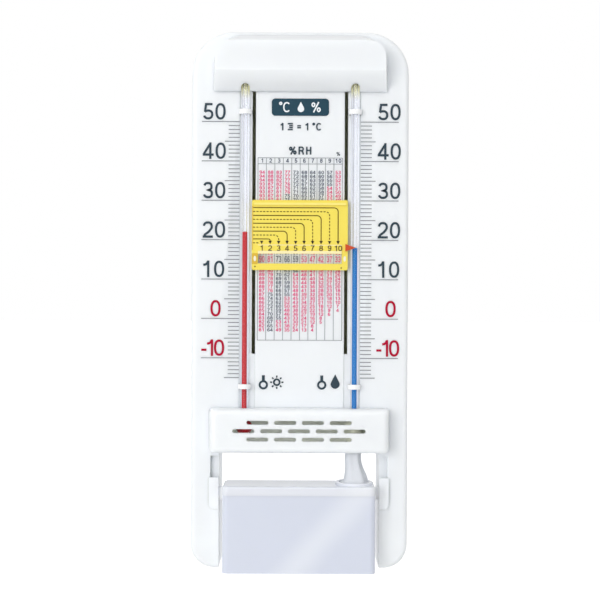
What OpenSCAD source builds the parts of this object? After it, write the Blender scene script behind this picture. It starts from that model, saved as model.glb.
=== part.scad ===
// Wet and dry bulb hygrometer for a wall: a moulded case, two spirit thermometers,
// a sliding humidity reader and a lift-out water tank.
// Millimetres. X to the right, +Z up, the front looks along -Y.
// The origin is the middle of the hanging hole, on the wall.

/* [Case] */
// Width of the case
case_w = 97.2; // [90:0.1:110]
// Height of the case
case_h = 240; // [230:0.5:260]
// Depth of the case from the wall to its front face
case_d = 25; // [22:0.1:30]
// Height of the case above the hanging hole
case_above_hole = 20; // [16:0.1:30]
// Radius of the two upper corners
case_top_r = 18.8; // [8:0.1:24]
// Radius of the two lower corners
case_bottom_r = 10.7; // [5:0.1:12]
// Radius of the edge round the front face
case_edge_r = 2.2; // [1:0.1:3]
// Wall thickness of the case
case_wall = 2; // [1.6:0.1:2.2]
// Height of the opening between the legs
leg_h = 52.95; // [50:0.05:58]
// Half width of the opening between the legs
leg_inner = 35.8; // [34.5:0.1:36.2]
// Depth of the bay behind the bulbs
bay_depth = 6.5; // [5:0.1:9]
// Width of the bay behind the bulbs
bay_w = 66; // [60:0.5:68]
// Distance of the bay's head below the guard's head
bay_below_guard = 1.4; // [1:0.1:1.8]

/* [Back cover] */
// Thickness of the back cover
cover_t = 3; // [2.5:0.1:4]
// Diameter of the hanging hole, where the head of the wall screw goes in
hang_d = 8; // [7:0.1:9]
// Width of the slot above the hanging hole
hang_slot_w = 4; // [3:0.1:4]
// Length of the slot above the hanging hole, to its middle
hang_slot_l = 8; // [6:0.1:10]
// Distance of the upper cover screws from the case's sides
screw_side = 12.6; // [11:0.1:20]
// Height of the upper cover screws above the hanging hole
screw_top_z = 7; // [2:0.1:9]
// Height of the lower cover screws above the foot of the legs
screw_low_rise = 12; // [10:0.1:20]
// Diameter of a cover screw's thread
screw_d = 2.9; // [2.5:0.1:3.2]
// Diameter of a cover screw's head
screw_head_d = 5.6; // [5:0.1:6]
// Length of a cover screw
screw_l = 12; // [9:0.5:14]
// Width of the cross recess in a screw's head
screw_recess_w = 0.8; // [0.6:0.1:1]
// Depth of the cross recess in a screw's head
screw_recess_deep = 1; // [0.6:0.1:1.2]
// Diameter of a screw boss inside the case
boss_d = 7; // [6:0.1:7.4]

/* [Hood] */
// How far the hood stands out from the case
hood_out = 10; // [8:0.1:12]
// Distance of the hood from the case's sides
hood_side = 9.8; // [7:0.1:10.5]
// How far the hood's front is drawn in at each side
hood_draft = 1.2; // [1:0.1:4]
// Distance of the hood's foot below the top of the case
hood_foot = 27.9; // [26:0.1:30]
// Distance of the hood's head below the top of the case
hood_head = 1.7; // [1.5:0.1:4]
// Distance of the front's lower edge below the top of the case
hood_front_foot = 19; // [17:0.1:21]
// Distance of the front's upper edge below the top of the case
hood_front_head = 5.9; // [5:0.1:7]
// Radius of the hood's upper corners at the case
hood_base_r = 14; // [12.5:0.1:15]
// Radius of the hood's upper corners at its front
hood_front_r = 7; // [4:0.1:9]
// Radius of the hood's lower corners
hood_low_r = 0.5; // [0.3:0.1:1]
// How far the hood's lower edge stands off the case's face
hood_lip = 1; // [0.5:0.1:1.4]
// How far the hood's holes open in front of the stems
stem_view = 1; // [0.2:0.1:1.2]
// Wall thickness of the hood and of the bulb guard
cover_wall = 1.8; // [1.4:0.1:2.2]
// Height of a hook that holds the hood or the guard
hook_h = 6; // [4:0.1:8]
// Thickness of a hook
hook_t = 1.6; // [1.2:0.1:2]
// Distance of the hooks from the outer edge of their cover
hook_inset = 0.6; // [0.4:0.1:1]

/* [Bulb guard] */
// How far the guard stands out from the case
guard_out = 10; // [9:0.1:12]
// Height of the guard at the case
guard_h = 19.3; // [19:0.1:21]
// Distance of the guard from the case's sides
guard_side = 8.4; // [7:0.1:9]
// How far the guard's sides lean in
guard_draft = 1.05; // [0.5:0.05:2]
// Radius of the guard's corners
guard_r = 1.8; // [1:0.1:2.5]
// Size of the soft edge round the guard's front
guard_edge = 2.4; // [1:0.1:3]
// How far the guard hangs below the top of the leg opening
guard_drop = 0.45; // [0:0.05:1]
// Length of a vent slot
vent_l = 9.7; // [8:0.1:10.5]
// Height of a vent slot
vent_h = 1.75; // [1.2:0.05:2.2]
// Distance from vent to vent in a row
vent_pitch = 12.2; // [11.8:0.1:12.6]
// Distance from row to row
vent_row = 3.68; // [3:0.02:3.9]
// Width of the notches that let the wick out below
wick_notch_w = 11.5; // [11.4:0.1:12.5]

/* [Thermometers] */
// Distance of each thermometer from the middle
tube_x = 24.5; // [24.5:0.1:25.5]
// Outer diameter of the glass stem
tube_d = 3.8; // [3.4:0.1:3.9]
// Bore of the glass stem
bore_d = 1.5; // [0.8:0.1:1.8]
// Height of the stem's top above the hanging hole
tube_top_z = 7; // [2:0.1:8]
// Outer diameter of the bulb
bulb_d = 7.3; // [6:0.1:7.4]
// Wall thickness of the bulb
bulb_wall = 0.5; // [0.3:0.05:0.8]
// Height of the bulb's middle above the guard's foot
bulb_rise = 10.9; // [10.5:0.1:11.2]
// Dry temperature that the spirit shows
dry_reads = 22; // [-10:1:45]
// Wet temperature that the spirit shows
wet_reads = 18; // [-10:1:45]
// Depth of the channel that each stem lies in
channel_depth = 0.5; // [0.2:0.05:1]
// Distance from the middle to the channel's outer edge
channel_outer = 27; // [26.8:0.1:27]
// Thickness of the strap of a clip
clip_t = 1; // [0.8:0.05:1.2]
// Thickness of a clip's legs
clip_leg_t = 0.6; // [0.4:0.05:0.7]
// Height of a clip
clip_h = 2.1; // [1.5:0.1:3]
// Distance of the upper clips above the 50 degree line
clip_above_scale = 4.2; // [3:0.1:5]
// Distance of the lower clips below the lowest line
clip_below_scale = 3.8; // [2:0.1:5]

/* [Scale] */
// Distance of the highest line below the hood
scale_below_hood = 12.5; // [11:0.1:16]
// Distance of the lowest line above the guard
scale_above_guard = 13.4; // [12:0.1:20]
// Lowest degree
scale_low = -15; // [-15:5:-10]
// Highest degree
scale_high = 50; // [45:5:50]
// Distance from the middle to the lines' inner ends
line_inner = 27.05; // [27:0.05:28]
// Distance from the middle to the outer ends of the degree lines
line_ones = 32; // [30:0.1:33]
// Distance from the middle to the outer ends of the five degree lines
line_fives = 33.7; // [33.2:0.1:36]
// Distance of the ten degree lines' outer ends from the case's sides
scale_margin = 4.6; // [4:0.1:9]
// Width of a printed line
line_w = 0.35; // [0.2:0.05:0.5]
// Thickness of the print
print_t = 0.1; // [0.05:0.01:0.15]

/* [Humidity table] */
// Columns of the table
table_columns = 10; // [6:1:10]
// Width of a column
column_w = 3.77; // [3.6:0.01:3.8]
// Height of the table's header row
header_h = 2.7; // [2:0.1:4]
// Distance of the table's foot below the row of 0 degrees
table_below_0 = 4.65; // [4:0.05:6]
// Distance of the header's top above the row of 40 degrees
table_above_40 = 6.45; // [5:0.05:8]
// Width of the table's lines
grid_w = 0.24; // [0.1:0.02:0.4]
// Width of the blank badge
badge_w = 25.6; // [20:0.1:30]
// Height of the blank badge
badge_h = 7.7; // [5:0.1:9]
// Radius of the badge's corners
badge_r = 1.6; // [0.5:0.1:2]
// Distance of the badge below the hood
badge_below_hood = 2.1; // [1:0.1:5]

/* [Slider] */
// Distance from the middle to the inner edge of a guide slot
slot_inner = 19.85; // [19.5:0.05:20]
// Width of a guide slot
slot_w = 1.55; // [1.4:0.05:1.7]
// Distance of the slots' upper ends above the hood's foot
slot_above_hood = 1.3; // [0.5:0.1:2]
// Distance of the slots' lower ends below the zero line
slot_below_zero = 15.7; // [15.5:0.1:18]
// Half width of the slider
slider_x = 21.3; // [21:0.05:21.3]
// Radius of the slider's corners
slider_r = 0.7; // [0.4:0.1:1.6]
// Height of the slider
slider_h = 31.1; // [29:0.1:31.4]
// Thickness of the slider
slider_t = 3.25; // [3:0.05:4]
// Height of the pointer's tip above the slider's foot
pointer_rise = 10; // [9:0.1:11]
// Distance of the window's middle below the pointer's tip
window_below = 4.95; // [4.8:0.05:5.5]
// Height of the window and its lens
window_h = 4.3; // [3.8:0.1:4.6]
// Half width of the window and its lens
window_x = 18.6; // [17:0.1:18.8]
// Radius of the lens's curved face
lens_r = 3.5; // [2.6:0.1:5]
// How far the lens stands out from the slider
lens_out = 1.05; // [0.8:0.05:1.5]
// Depth of the step that the lens leaves behind it
lens_back = 0.7; // [0.4:0.1:1]
// Height of the raised band above the window
band_h = 4.1; // [3:0.1:4.3]
// How far the raised band stands out
band_out = 0.5; // [0.3:0.1:0.8]
// Height of the lip along the slider's head
lip_h = 2.3; // [1.5:0.1:3]
// How far the lip stands out
lip_out = 0.8; // [0.4:0.1:1.2]
// Height of the pointer's base
pointer_h = 3.2; // [2.6:0.1:3.6]
// Thickness of the pointer
pointer_t = 1; // [0.8:0.1:1.4]
// How far the pointer's tip reaches past the stem's axis
pointer_past = 0.3; // [0:0.1:0.8]
// How far the pointer's base lies on the slider
pointer_seat = 1.1; // [0.8:0.1:2]
// Thickness of a leg that runs in a guide slot
rail_t = 1.1; // [0.9:0.05:1.1]
// Thickness of the keeper plate behind the case's face
keeper_t = 1.4; // [1:0.1:2]
// How far the keeper plate stays inside the slider's ends
keeper_inset = 1.5; // [0.5:0.1:4]
// Half width of the keeper plate
keeper_x = 23.4; // [22.5:0.1:24]
// Distance of the slider's legs inside the keeper plate's ends
rail_inset = 2; // [1:0.1:4]
// Size of the barbs that hold the keeper plate
barb = 0.5; // [0.3:0.05:0.8]
// Distance of the lip from the slider's edges
lip_inset = 0.6; // [0.3:0.1:1]

/* [Water tank] */
// Distance of the tank from each leg
tank_side_gap = 2.1; // [1.2:0.1:3]
// Depth of the tank from front to back
tank_d = 21; // [20:0.1:23]
// How far the tank stands out from the case
tank_out = 11; // [10:0.1:12]
// Height of the tank with its lid
tank_h = 38.1; // [36:0.1:38.6]
// Height of the tank's foot above the foot of the legs
tank_rise = 0; // [0:0.1:1]
// Wall thickness of the tank
tank_wall = 1.8; // [1.4:0.1:2.2]
// Radius of the tank's upright edges
tank_r = 2.5; // [2:0.1:3.5]
// Height of the lid's skirt
lid_skirt = 4; // [3:0.1:5]
// Thickness of the lid
lid_t = 1.5; // [1.2:0.1:2]
// Size of the soft edge round the lid's top
lid_edge = 0.9; // [0.4:0.1:1.2]
// Thickness of the lid's skirt
skirt_t = 0.9; // [0.7:0.05:1]
// Outer diameter of the collar round the wick's hole
collar_d = 16.4; // [16:0.1:17]
// Diameter of the wick's hole
wick_hole_d = 13.6; // [13:0.1:14.4]
// Height of the collar above the lid
collar_h = 1.2; // [0.8:0.1:1.6]

/* [Tank latch] */
// How far a lug reaches into its leg
lug_in = 3.2; // [2.5:0.1:3.4]
// Height of a lug
lug_h = 5.4; // [4.5:0.1:6]
// Depth of a lug from front to back
lug_d = 1.5; // [1.5:0.1:3]
// Height of the lugs' foot above the tank's foot
lug_rise = 31; // [29.5:0.1:31]
// Width of a window and pocket in a leg
pocket_w = 3.8; // [3.7:0.1:4.2]
// Depth of the pockets that the lugs drop into
pocket_deep = 9.7; // [9:0.1:10]
// Height of the windows above the pockets
lug_window_h = 9.6; // [9:0.1:10]
// How far a pocket's cover stands out from its leg
pocket_out = 1.6; // [1.3:0.1:2]
// Width of a pocket's cover
pocket_cover_w = 4.3; // [4.2:0.1:5]
// Radius of a pocket cover's lower corner
pocket_r = 2; // [1:0.1:3]
// How far the tank lifts past the top of its pockets
lift_spare = 1.3; // [0.8:0.1:2]
// Wall thickness of the housing behind a pocket
housing_wall = 1.4; // [1:0.1:1.6]
// Height of a pocket's floor
pocket_floor = 4.2; // [3:0.1:5]

/* [Wick] */
// Thickness of the gauze
gauze_t = 0.5; // [0.3:0.05:0.6]
// Radius of the wick just below the guard
wick_waist_r = 3.6; // [3.4:0.1:4]
// Radius of the wick where it goes into the tank
wick_low_r = 5.2; // [4.2:0.1:5.4]
// Folds round the wick
wick_folds = 7; // [5:1:8]
// Height of the folds at the wick's foot
wick_fold_h = 0.45; // [0.2:0.05:0.5]
// Thickness of the thread that ties the wick
thread_d = 0.6; // [0.4:0.1:0.8]
// Height of the wick's neck above the bulb
neck_h = 2.5; // [2:0.1:2.6]
// Distance of the wick's foot above the tank's floor when the tank is lifted
wick_above_floor = 0.7; // [0.5:0.1:5]

/* [Clearances] */
// Gap between pieces that slide past each other
slide_gap = 0.3; // [0.25:0.05:0.35]
// Gap round pieces that are pushed into a hole
push_gap = 0.1; // [0.05:0.05:0.15]
// Gap round the back cover
cover_gap = 0.2; // [0.1:0.05:0.4]
// Gap between the spirit and the glass
spirit_gap = 0.04; // [0.02:0.01:0.08]
// Gap between the lugs and what they slide along
lug_gap = 0.4; // [0.3:0.05:0.5]

/* [Hidden] */
$fn = 48;

// Heights
case_top = case_above_hole;
case_foot = case_top - case_h;
cut_top = case_foot + leg_h;
guard_foot = cut_top - guard_drop;
guard_top = guard_foot + guard_h;
bulb_z = guard_foot + bulb_rise;
hood_foot_z = case_top - hood_foot;
scale_top_z = hood_foot_z - scale_below_hood;
scale_foot_z = guard_top + scale_above_guard;
degree_h = (scale_top_z - scale_foot_z) / (scale_high - scale_low);
zero_z = scale_foot_z - scale_low * degree_h;
slot_top = hood_foot_z + slot_above_hood;
slot_foot = zero_z - slot_below_zero;
pointer_z = zero_z + wet_reads * degree_h;
slider_foot = pointer_z - pointer_rise;
slider_top = slider_foot + slider_h;
window_z = pointer_z - window_below;
tank_foot = case_foot + tank_rise;
lid_top = tank_foot + tank_h;
lid_seat = lid_top - lid_t;
lug_foot = tank_foot + lug_rise;
pocket_top = lug_foot + pocket_deep;
lug_window_top = pocket_top + lug_window_h;
tank_lift = pocket_deep + lift_spare;
bay_top = guard_top - bay_below_guard;
table_top = zero_z + 40 * degree_h - window_below + table_above_40;
table_foot = zero_z - window_below - table_below_0;
upper_clip_z = scale_top_z + clip_above_scale;
lower_clip_z = scale_foot_z - clip_below_scale;

// Depths
face_y = -case_d;
inner_y = face_y + case_wall;
tube_y = face_y + channel_depth - tube_d / 2;
slider_y = face_y - slide_gap;
slider_front = slider_y - slider_t;
keeper_y = inner_y + slide_gap;
tank_front = face_y - tank_out;
tank_back = tank_front + tank_d;
lug_y = face_y + slide_gap;
pocket_back = lug_y + lug_d + lug_gap;
bay_y = face_y + bay_depth;
cover_y = -cover_t;
wick_y = tube_y;

// Widths
slot_outer = slot_inner + slot_w;
rail_x = slot_inner + (slot_w - rail_t) / 2;
rail_foot = slider_foot + keeper_inset + rail_inset;
rail_head = slider_top - keeper_inset - rail_inset;
screw_low_x = (case_w / 2 + leg_inner) / 2;
lug_end = leg_inner + lug_in;
tank_x = leg_inner - tank_side_gap;
line_tens = case_w / 2 - scale_margin;
screw_top_x = case_w / 2 - screw_side;
hood_base_x = case_w / 2 - hood_side;
hood_front_x = hood_base_x - hood_draft;
guard_base_x = case_w / 2 - guard_side;
table_x = table_columns * column_w / 2;
cut = 0.05;

function arc(x, z, r, from, to, steps = 12) = [
    for (i = [0 : steps])
        let (a = from + (to - from) * i / steps) [x + r * cos(a), z + r * sin(a)]
];

// A rectangle with its own radius at the lower and at the upper corners
function rounded(x, low, high, low_r, high_r) = concat(
    arc(x - low_r, low + low_r, low_r, -90, 0),
    arc(x - high_r, high - high_r, high_r, 0, 90),
    arc(-x + high_r, high - high_r, high_r, 90, 180),
    arc(-x + low_r, low + low_r, low_r, 180, 270)
);

// An outline in X and Z, as deep as from one Y to the other
module slab(front, back) {
    translate([0, back, 0]) rotate([90, 0, 0]) linear_extrude(back - front) children();
}

module box(x0, x1, y0, y1, z0, z1) {
    translate([x0, y0, z0]) cube([x1 - x0, y1 - y0, z1 - z0]);
}

// A box on each side of the middle
module pair(x0, x1, y0, y1, z0, z1) {
    box(x0, x1, y0, y1, z0, z1);
    box(-x1, -x0, y0, y1, z0, z1);
}

module case_outline(inset = 0) {
    polygon(rounded(case_w / 2 - inset, case_foot + inset, case_top - inset,
        case_bottom_r - inset, case_top_r - inset));
}

// The case's outer form, with a round edge at its front
module case_form() {
    hull() {
        slab(face_y + case_edge_r, 0) case_outline();
        for (a = [22.5 : 22.5 : 90])
            slab(face_y + case_edge_r * (1 - sin(a)), face_y + case_edge_r)
                case_outline(case_edge_r * (1 - cos(a)));
    }
}

// What the case and its cover leave free between the legs
module leg_opening(grow = 0) {
    box(-leg_inner - grow, leg_inner + grow, face_y - cut, cut, case_foot - cut, cut_top + grow);
}

module bay(grow = 0) {
    box(-bay_w / 2 - grow, bay_w / 2 + grow, face_y - cut, bay_y + grow, cut_top - cut, bay_top + grow);
}

module screw_places() {
    for (s = [-1, 1]) {
        translate([s * screw_top_x, 0, screw_top_z]) children();
        translate([s * screw_low_x, 0, case_foot + screw_low_rise]) children();
    }
}

// A round bar along Y
module rod(d, y0, y1) {
    translate([0, y1, 0]) rotate([90, 0, 0]) cylinder(d = d, h = y1 - y0);
}

module hook_slots(x, z, gap) {
    pair(x - hook_t - gap, x + gap, face_y - cut, inner_y + cut,
        z - hook_h / 2 - gap, z + hook_h / 2 + gap);
}

hood_hook_x = hood_base_x - hook_inset;
hood_hook_z = hood_foot_z + hook_h;
guard_hook_x = guard_base_x - hook_inset;
guard_hook_z = (guard_foot + guard_top) / 2;

// The covers over the pockets that the tank's lugs drop into
module pocket_covers() {
    for (s = [0, 1]) mirror([s, 0, 0])
        slab(face_y - pocket_out, face_y)
            polygon(concat(
                [[leg_inner, pocket_top], [leg_inner, lug_foot - pocket_floor]],
                arc(leg_inner + pocket_cover_w - pocket_r, lug_foot - pocket_floor + pocket_r,
                    pocket_r, -90, 0),
                [[leg_inner + pocket_cover_w, pocket_top]]
            ));
}

// The walls inside each leg that the tank's lugs slide between
module lug_housings() {
    pair(leg_inner, leg_inner + pocket_w + housing_wall, inner_y - cut, pocket_back + housing_wall,
        lug_foot - housing_wall, lug_window_top + housing_wall);
}

module clip_holes(z) {
    for (s = [-1, 1])
        translate([s * tube_x, 0, 0])
            pair(tube_d / 2 - push_gap, tube_d / 2 + clip_leg_t + push_gap, face_y - cut, inner_y + cut,
                z - clip_h / 2 - push_gap, z + clip_h / 2 + push_gap);
}

module front_panel() {
    color("whitesmoke") difference() {
        union() {
            difference() {
                case_form();
                difference() {
                    slab(inner_y, cut) case_outline(case_wall);
                    leg_opening(case_wall);
                    bay(case_wall);
                    lug_housings();
                    screw_places() rod(boss_d, inner_y, cover_y);
                }
                leg_opening();
                bay();
            }
            pocket_covers();
        }
        // The seat of the back cover
        difference() {
            slab(cover_y, cut) case_outline(case_wall);
            leg_opening(case_wall);
        }
        pair(slot_inner, channel_outer, face_y - cut, face_y + channel_depth, bay_top - cut, slot_top);
        pair(tube_x - tube_d / 2, tube_x + tube_d / 2, face_y - cut, face_y + channel_depth,
            bay_top - cut, tube_top_z + push_gap);
        pair(slot_inner, slot_outer, face_y, inner_y + cut, slot_foot, slot_top);
        // The windows and pockets of the tank's lugs
        pair(leg_inner - cut, leg_inner + pocket_w, face_y, pocket_back, lug_foot, lug_window_top);
        pair(leg_inner - cut, leg_inner + pocket_w, face_y - cut, face_y + cut, pocket_top, lug_window_top);
        hook_slots(hood_hook_x, hood_hook_z, push_gap);
        hook_slots(guard_hook_x, guard_hook_z, push_gap);
        clip_holes(upper_clip_z);
        clip_holes(lower_clip_z);
        screw_places() rod(screw_d - 0.1, cover_y - screw_l, cover_y + cut);
    }
}

module back_cover() {
    color("gainsboro") difference() {
        slab(cover_y, 0) case_outline(case_wall + cover_gap);
        leg_opening(case_wall + cover_gap);
        rod(hang_d, cover_y - cut, cut);
        box(-hang_slot_w / 2, hang_slot_w / 2, cover_y - cut, cut, 0, hang_slot_l);
        translate([0, 0, hang_slot_l]) rod(hang_slot_w, cover_y - cut, cut);
        screw_places() {
            rod(screw_d + 2 * push_gap, cover_y - cut, cut);
            screw_head(push_gap);
        }
    }
}

// A countersunk head with its flat side on the wall's plane, grown where it is cut out
module screw_head(grow = 0) {
    rotate([90, 0, 0]) rotate_extrude()
        polygon([
            [0, -cut * sign(grow)],
            [screw_head_d / 2 + grow, -cut * sign(grow)],
            [screw_head_d / 2 + grow, 0],
            [screw_d / 2 + grow, (screw_head_d - screw_d) / 2],
            [0, (screw_head_d - screw_d) / 2]
        ]);
}

module cover_screw(x, z) {
    color("silver") translate([x, 0, z]) difference() {
        union() {
            screw_head();
            rod(screw_d - 0.1, -screw_l, -(screw_head_d - screw_d) / 2 + 0.01);
        }
        box(-screw_d / 2, screw_d / 2, -screw_recess_deep, cut, -screw_recess_w / 2, screw_recess_w / 2);
        box(-screw_recess_w / 2, screw_recess_w / 2, -screw_recess_deep, cut, -screw_d / 2, screw_d / 2);
    }
}

module hood_form(inset = 0, back = 0) {
    hull() {
        slab(face_y - 0.01, face_y + back)
            polygon(rounded(hood_base_x - inset, hood_foot_z + inset, case_top - hood_head - inset,
                hood_low_r, hood_base_r - inset));
        slab(face_y - hood_out + inset, face_y - hood_out + inset + 0.01)
            polygon(rounded(hood_front_x - inset, case_top - hood_front_foot + inset,
                case_top - hood_front_head - inset, hood_low_r, hood_front_r - inset));
    }
}

module hooks(x, z) {
    pair(x - hook_t, x, face_y - 1.5, inner_y, z - hook_h / 2, z + hook_h / 2);
}

module top_hood() {
    color("whitesmoke") {
        difference() {
            union() {
                difference() {
                    hood_form();
                    hood_form(cover_wall, cut);
                }
                hooks(hood_hook_x, hood_hook_z);
            }
            for (s = [-1, 1])
                translate([s * tube_x, tube_y - stem_view, hood_foot_z - 1])
                    cylinder(d = tube_d + 2 * push_gap, h = tube_top_z - hood_foot_z + 1);
            pair(tube_x - tube_d / 2 - push_gap, tube_x + tube_d / 2 + push_gap,
                tube_y - stem_view, face_y + cut, hood_foot_z - 1, tube_top_z);
            // The lower edge stands off the case
            box(-hood_base_x - cut, hood_base_x + cut, face_y - hood_lip, face_y + cut,
                hood_foot_z - cut, hood_foot_z + cover_wall + hood_lip);
        }
    }
}

module guard_form(inset = 0, back = 0) {
    hull() {
        slab(face_y - 0.01, face_y + back) guard_outline(0, 0, inset);
        for (a = [0 : 22.5 : 90]) {
            out = guard_out - inset - guard_edge * (1 - sin(a));
            slab(face_y - out, face_y - out + 0.01) guard_outline(out, guard_edge * (1 - cos(a)), inset);
        }
    }
}

// The guard's outline at a distance from the case, drawn in for its soft edge
module guard_outline(out, edge, inset) {
    polygon(rounded(guard_base_x - guard_draft * out / guard_out - edge - inset,
        guard_foot + edge * 0.9 + inset, guard_top - edge - inset, guard_r, guard_r));
}

// A slot with round ends through the guard's front
module vent(x, z) {
    slab(face_y - guard_out - 1, face_y - guard_out / 2) {
        translate([x - (vent_l - vent_h) / 2, z]) circle(d = vent_h);
        translate([x + (vent_l - vent_h) / 2, z]) circle(d = vent_h);
        translate([x - (vent_l - vent_h) / 2, z - vent_h / 2]) square([vent_l - vent_h, vent_h]);
    }
}

vent_z = (guard_foot + guard_top) / 2 + 0.2;

module bulb_guard() {
    color("whitesmoke") difference() {
        union() {
            difference() {
                guard_form();
                guard_form(cover_wall, cut);
            }
            hooks(guard_hook_x, guard_hook_z);
        }
        for (column = [-2 : 2]) vent(column * vent_pitch, vent_z);
        for (row = [-1, 1])
            for (column = [-1.5 : 1.5]) vent(column * vent_pitch, vent_z + row * vent_row);
        for (s = [-1, 1]) {
            translate([s * tube_x, tube_y, guard_top - 2 * cover_wall])
                cylinder(d = tube_d + 2 * push_gap, h = 2 * cover_wall + cut);
            translate([s * tube_x, tube_y, guard_foot - cut])
                cylinder(d = wick_notch_w, h = 2 * cover_wall);
        }
        pair(tube_x - tube_d / 2 - push_gap, tube_x + tube_d / 2 + push_gap,
            tube_y, face_y + cut, guard_top - 2 * cover_wall, guard_top + cut);
        pair(tube_x - wick_notch_w / 2, tube_x + wick_notch_w / 2,
            tube_y, face_y + cut, guard_foot - cut, guard_foot + 2 * cover_wall);
    }
}

module tube(side) {
    color("lightcyan") translate([side * tube_x, tube_y, bulb_z]) difference() {
        union() {
            sphere(d = bulb_d);
            cylinder(d = tube_d, h = tube_top_z - bulb_z);
        }
        sphere(d = bulb_d - 2 * bulb_wall);
        cylinder(d = bore_d, h = tube_top_z - bulb_z - 2);
    }
}

module spirit(side, reads, shade) {
    color(shade) translate([side * tube_x, tube_y, bulb_z]) union() {
        sphere(d = bulb_d - 2 * bulb_wall - 2 * spirit_gap);
        cylinder(d = bore_d - 2 * spirit_gap, h = zero_z + reads * degree_h - bulb_z);
    }
}

// A strap over the stem with a leg through the case's face on each side
module clip(side, z) {
    color("white") translate([side * tube_x, 0, z]) difference() {
        union() {
            translate([0, tube_y, -clip_h / 2]) cylinder(d = tube_d + 2 * clip_t, h = clip_h);
            box(-tube_d / 2 - clip_t, tube_d / 2 + clip_t, tube_y, face_y, -clip_h / 2, clip_h / 2);
            box(-tube_d / 2 - clip_leg_t, tube_d / 2 + clip_leg_t, face_y, inner_y,
                -clip_h / 2, clip_h / 2);
        }
        translate([0, tube_y, -clip_h]) cylinder(d = tube_d, h = 2 * clip_h);
        box(-tube_d / 2, tube_d / 2, tube_y, inner_y + cut, -clip_h, clip_h);
    }
}

module scale_lines(side) {
    color("dimgray") for (t = [scale_low : scale_high]) {
        outer = t % 10 == 0 ? line_tens : t % 5 == 0 ? line_fives : line_ones;
        z = zero_z + t * degree_h;
        mirror([side < 0 ? 1 : 0, 0, 0])
            box(line_inner, outer, face_y - print_t, face_y, z - line_w / 2, z + line_w / 2);
    }
}

module humidity_table() {
    color("gray") {
        for (column = [0 : table_columns])
            translate([-table_x + column * column_w, 0, 0])
                box(-grid_w / 2, grid_w / 2, face_y - print_t, face_y, table_foot, table_top);
        for (z = [table_top, table_top - header_h, table_foot])
            box(-table_x - grid_w / 2, table_x + grid_w / 2, face_y - print_t, face_y,
                z - grid_w / 2, z + grid_w / 2);
    }
}

module badge() {
    high = hood_foot_z - badge_below_hood;
    color("darkslategray") slab(face_y - print_t, face_y)
        polygon(rounded(badge_w / 2, high - badge_h, high, badge_r, badge_r));
}

module slider_plate() {
    lens_foot = window_z - window_h / 2;
    lens_head = window_z + window_h / 2;
    color("gold") difference() {
        union() {
            slab(slider_front, slider_y)
                polygon(rounded(slider_x, slider_foot, slider_top, slider_r, slider_r));
            // The lip along the head and the band above the window
            box(-slider_x + lip_inset, slider_x - lip_inset, slider_front - lip_out, slider_front,
                slider_top - lip_h, slider_top - lip_inset);
            box(-window_x, window_x, slider_front - band_out, slider_front, lens_head, lens_head + band_h);
            // The legs that run in the guide slots, with barbs behind the keeper plate
            pair(rail_x, rail_x + rail_t, slider_y, keeper_y + keeper_t + 2 * barb,
                rail_foot, rail_head);
            pair(rail_x - barb, rail_x + rail_t, keeper_y + keeper_t, keeper_y + keeper_t + 2 * barb,
                rail_foot, rail_head);
        }
        box(-window_x, window_x, slider_front - cut, slider_y + cut, lens_foot, lens_head);
    }
}

module magnifier_lens() {
    color("lightblue") intersection() {
        box(-window_x, window_x, slider_front - lens_out, slider_y - lens_back,
            window_z - window_h / 2, window_z + window_h / 2);
        union() {
            translate([-window_x, slider_front - lens_out + lens_r, window_z])
                rotate([0, 90, 0]) cylinder(r = lens_r, h = 2 * window_x);
            box(-window_x, window_x, slider_front - lens_out + lens_r, slider_y,
                window_z - window_h / 2, window_z + window_h / 2);
        }
    }
}

module slider_pointer() {
    tip = tube_x + pointer_past;
    color("orangered") slab(slider_front - pointer_t, slider_front)
        polygon([
            [slider_x - pointer_seat, pointer_z - pointer_h / 2],
            [tip, pointer_z],
            [slider_x - pointer_seat, pointer_z + pointer_h / 2]
        ]);
}

module slider_keeper() {
    color("goldenrod") difference() {
        box(-keeper_x, keeper_x, keeper_y, keeper_y + keeper_t,
            slider_foot + keeper_inset, slider_top - keeper_inset);
        pair(rail_x - push_gap, rail_x + rail_t + push_gap, keeper_y - cut, keeper_y + keeper_t + cut,
            rail_foot - push_gap, rail_head + push_gap);
    }
}

// The tank's outline seen from above, from one height to another
module tank_form(inset, low, high) {
    translate([0, (tank_front + tank_back) / 2, low]) linear_extrude(high - low)
        polygon(rounded(tank_x - inset, -tank_d / 2 + inset, tank_d / 2 - inset,
            tank_r - inset, tank_r - inset));
}

module water_tank() {
    color("lavender") difference() {
        union() {
            tank_form(0, tank_foot, lid_top - lid_skirt);
            tank_form(skirt_t + push_gap, tank_foot, lid_seat);
            pair(tank_x - tank_wall / 2, lug_end, lug_y, lug_y + lug_d, lug_foot, lid_top - lid_skirt);
            pair(tank_x + push_gap, lug_end, lug_y, lug_y + lug_d, lug_foot, lug_foot + lug_h);
        }
        tank_form(tank_wall, tank_foot + tank_wall, lid_top);
    }
}

module tank_lid() {
    color("lavender") difference() {
        union() {
            hull() {
                tank_form(0, lid_top - lid_skirt, lid_top - lid_edge);
                tank_form(lid_edge * 0.3, lid_top - lid_edge, lid_top - lid_edge * 0.3);
                tank_form(lid_edge, lid_top - lid_edge, lid_top);
            }
            translate([tube_x, wick_y, lid_seat]) cylinder(d = collar_d, h = lid_t + collar_h);
        }
        tank_form(skirt_t, lid_top - lid_skirt - cut, lid_seat);
        translate([tube_x, wick_y, lid_seat - cut]) cylinder(d = wick_hole_d, h = lid_t + collar_h + 1);
    }
}

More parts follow.
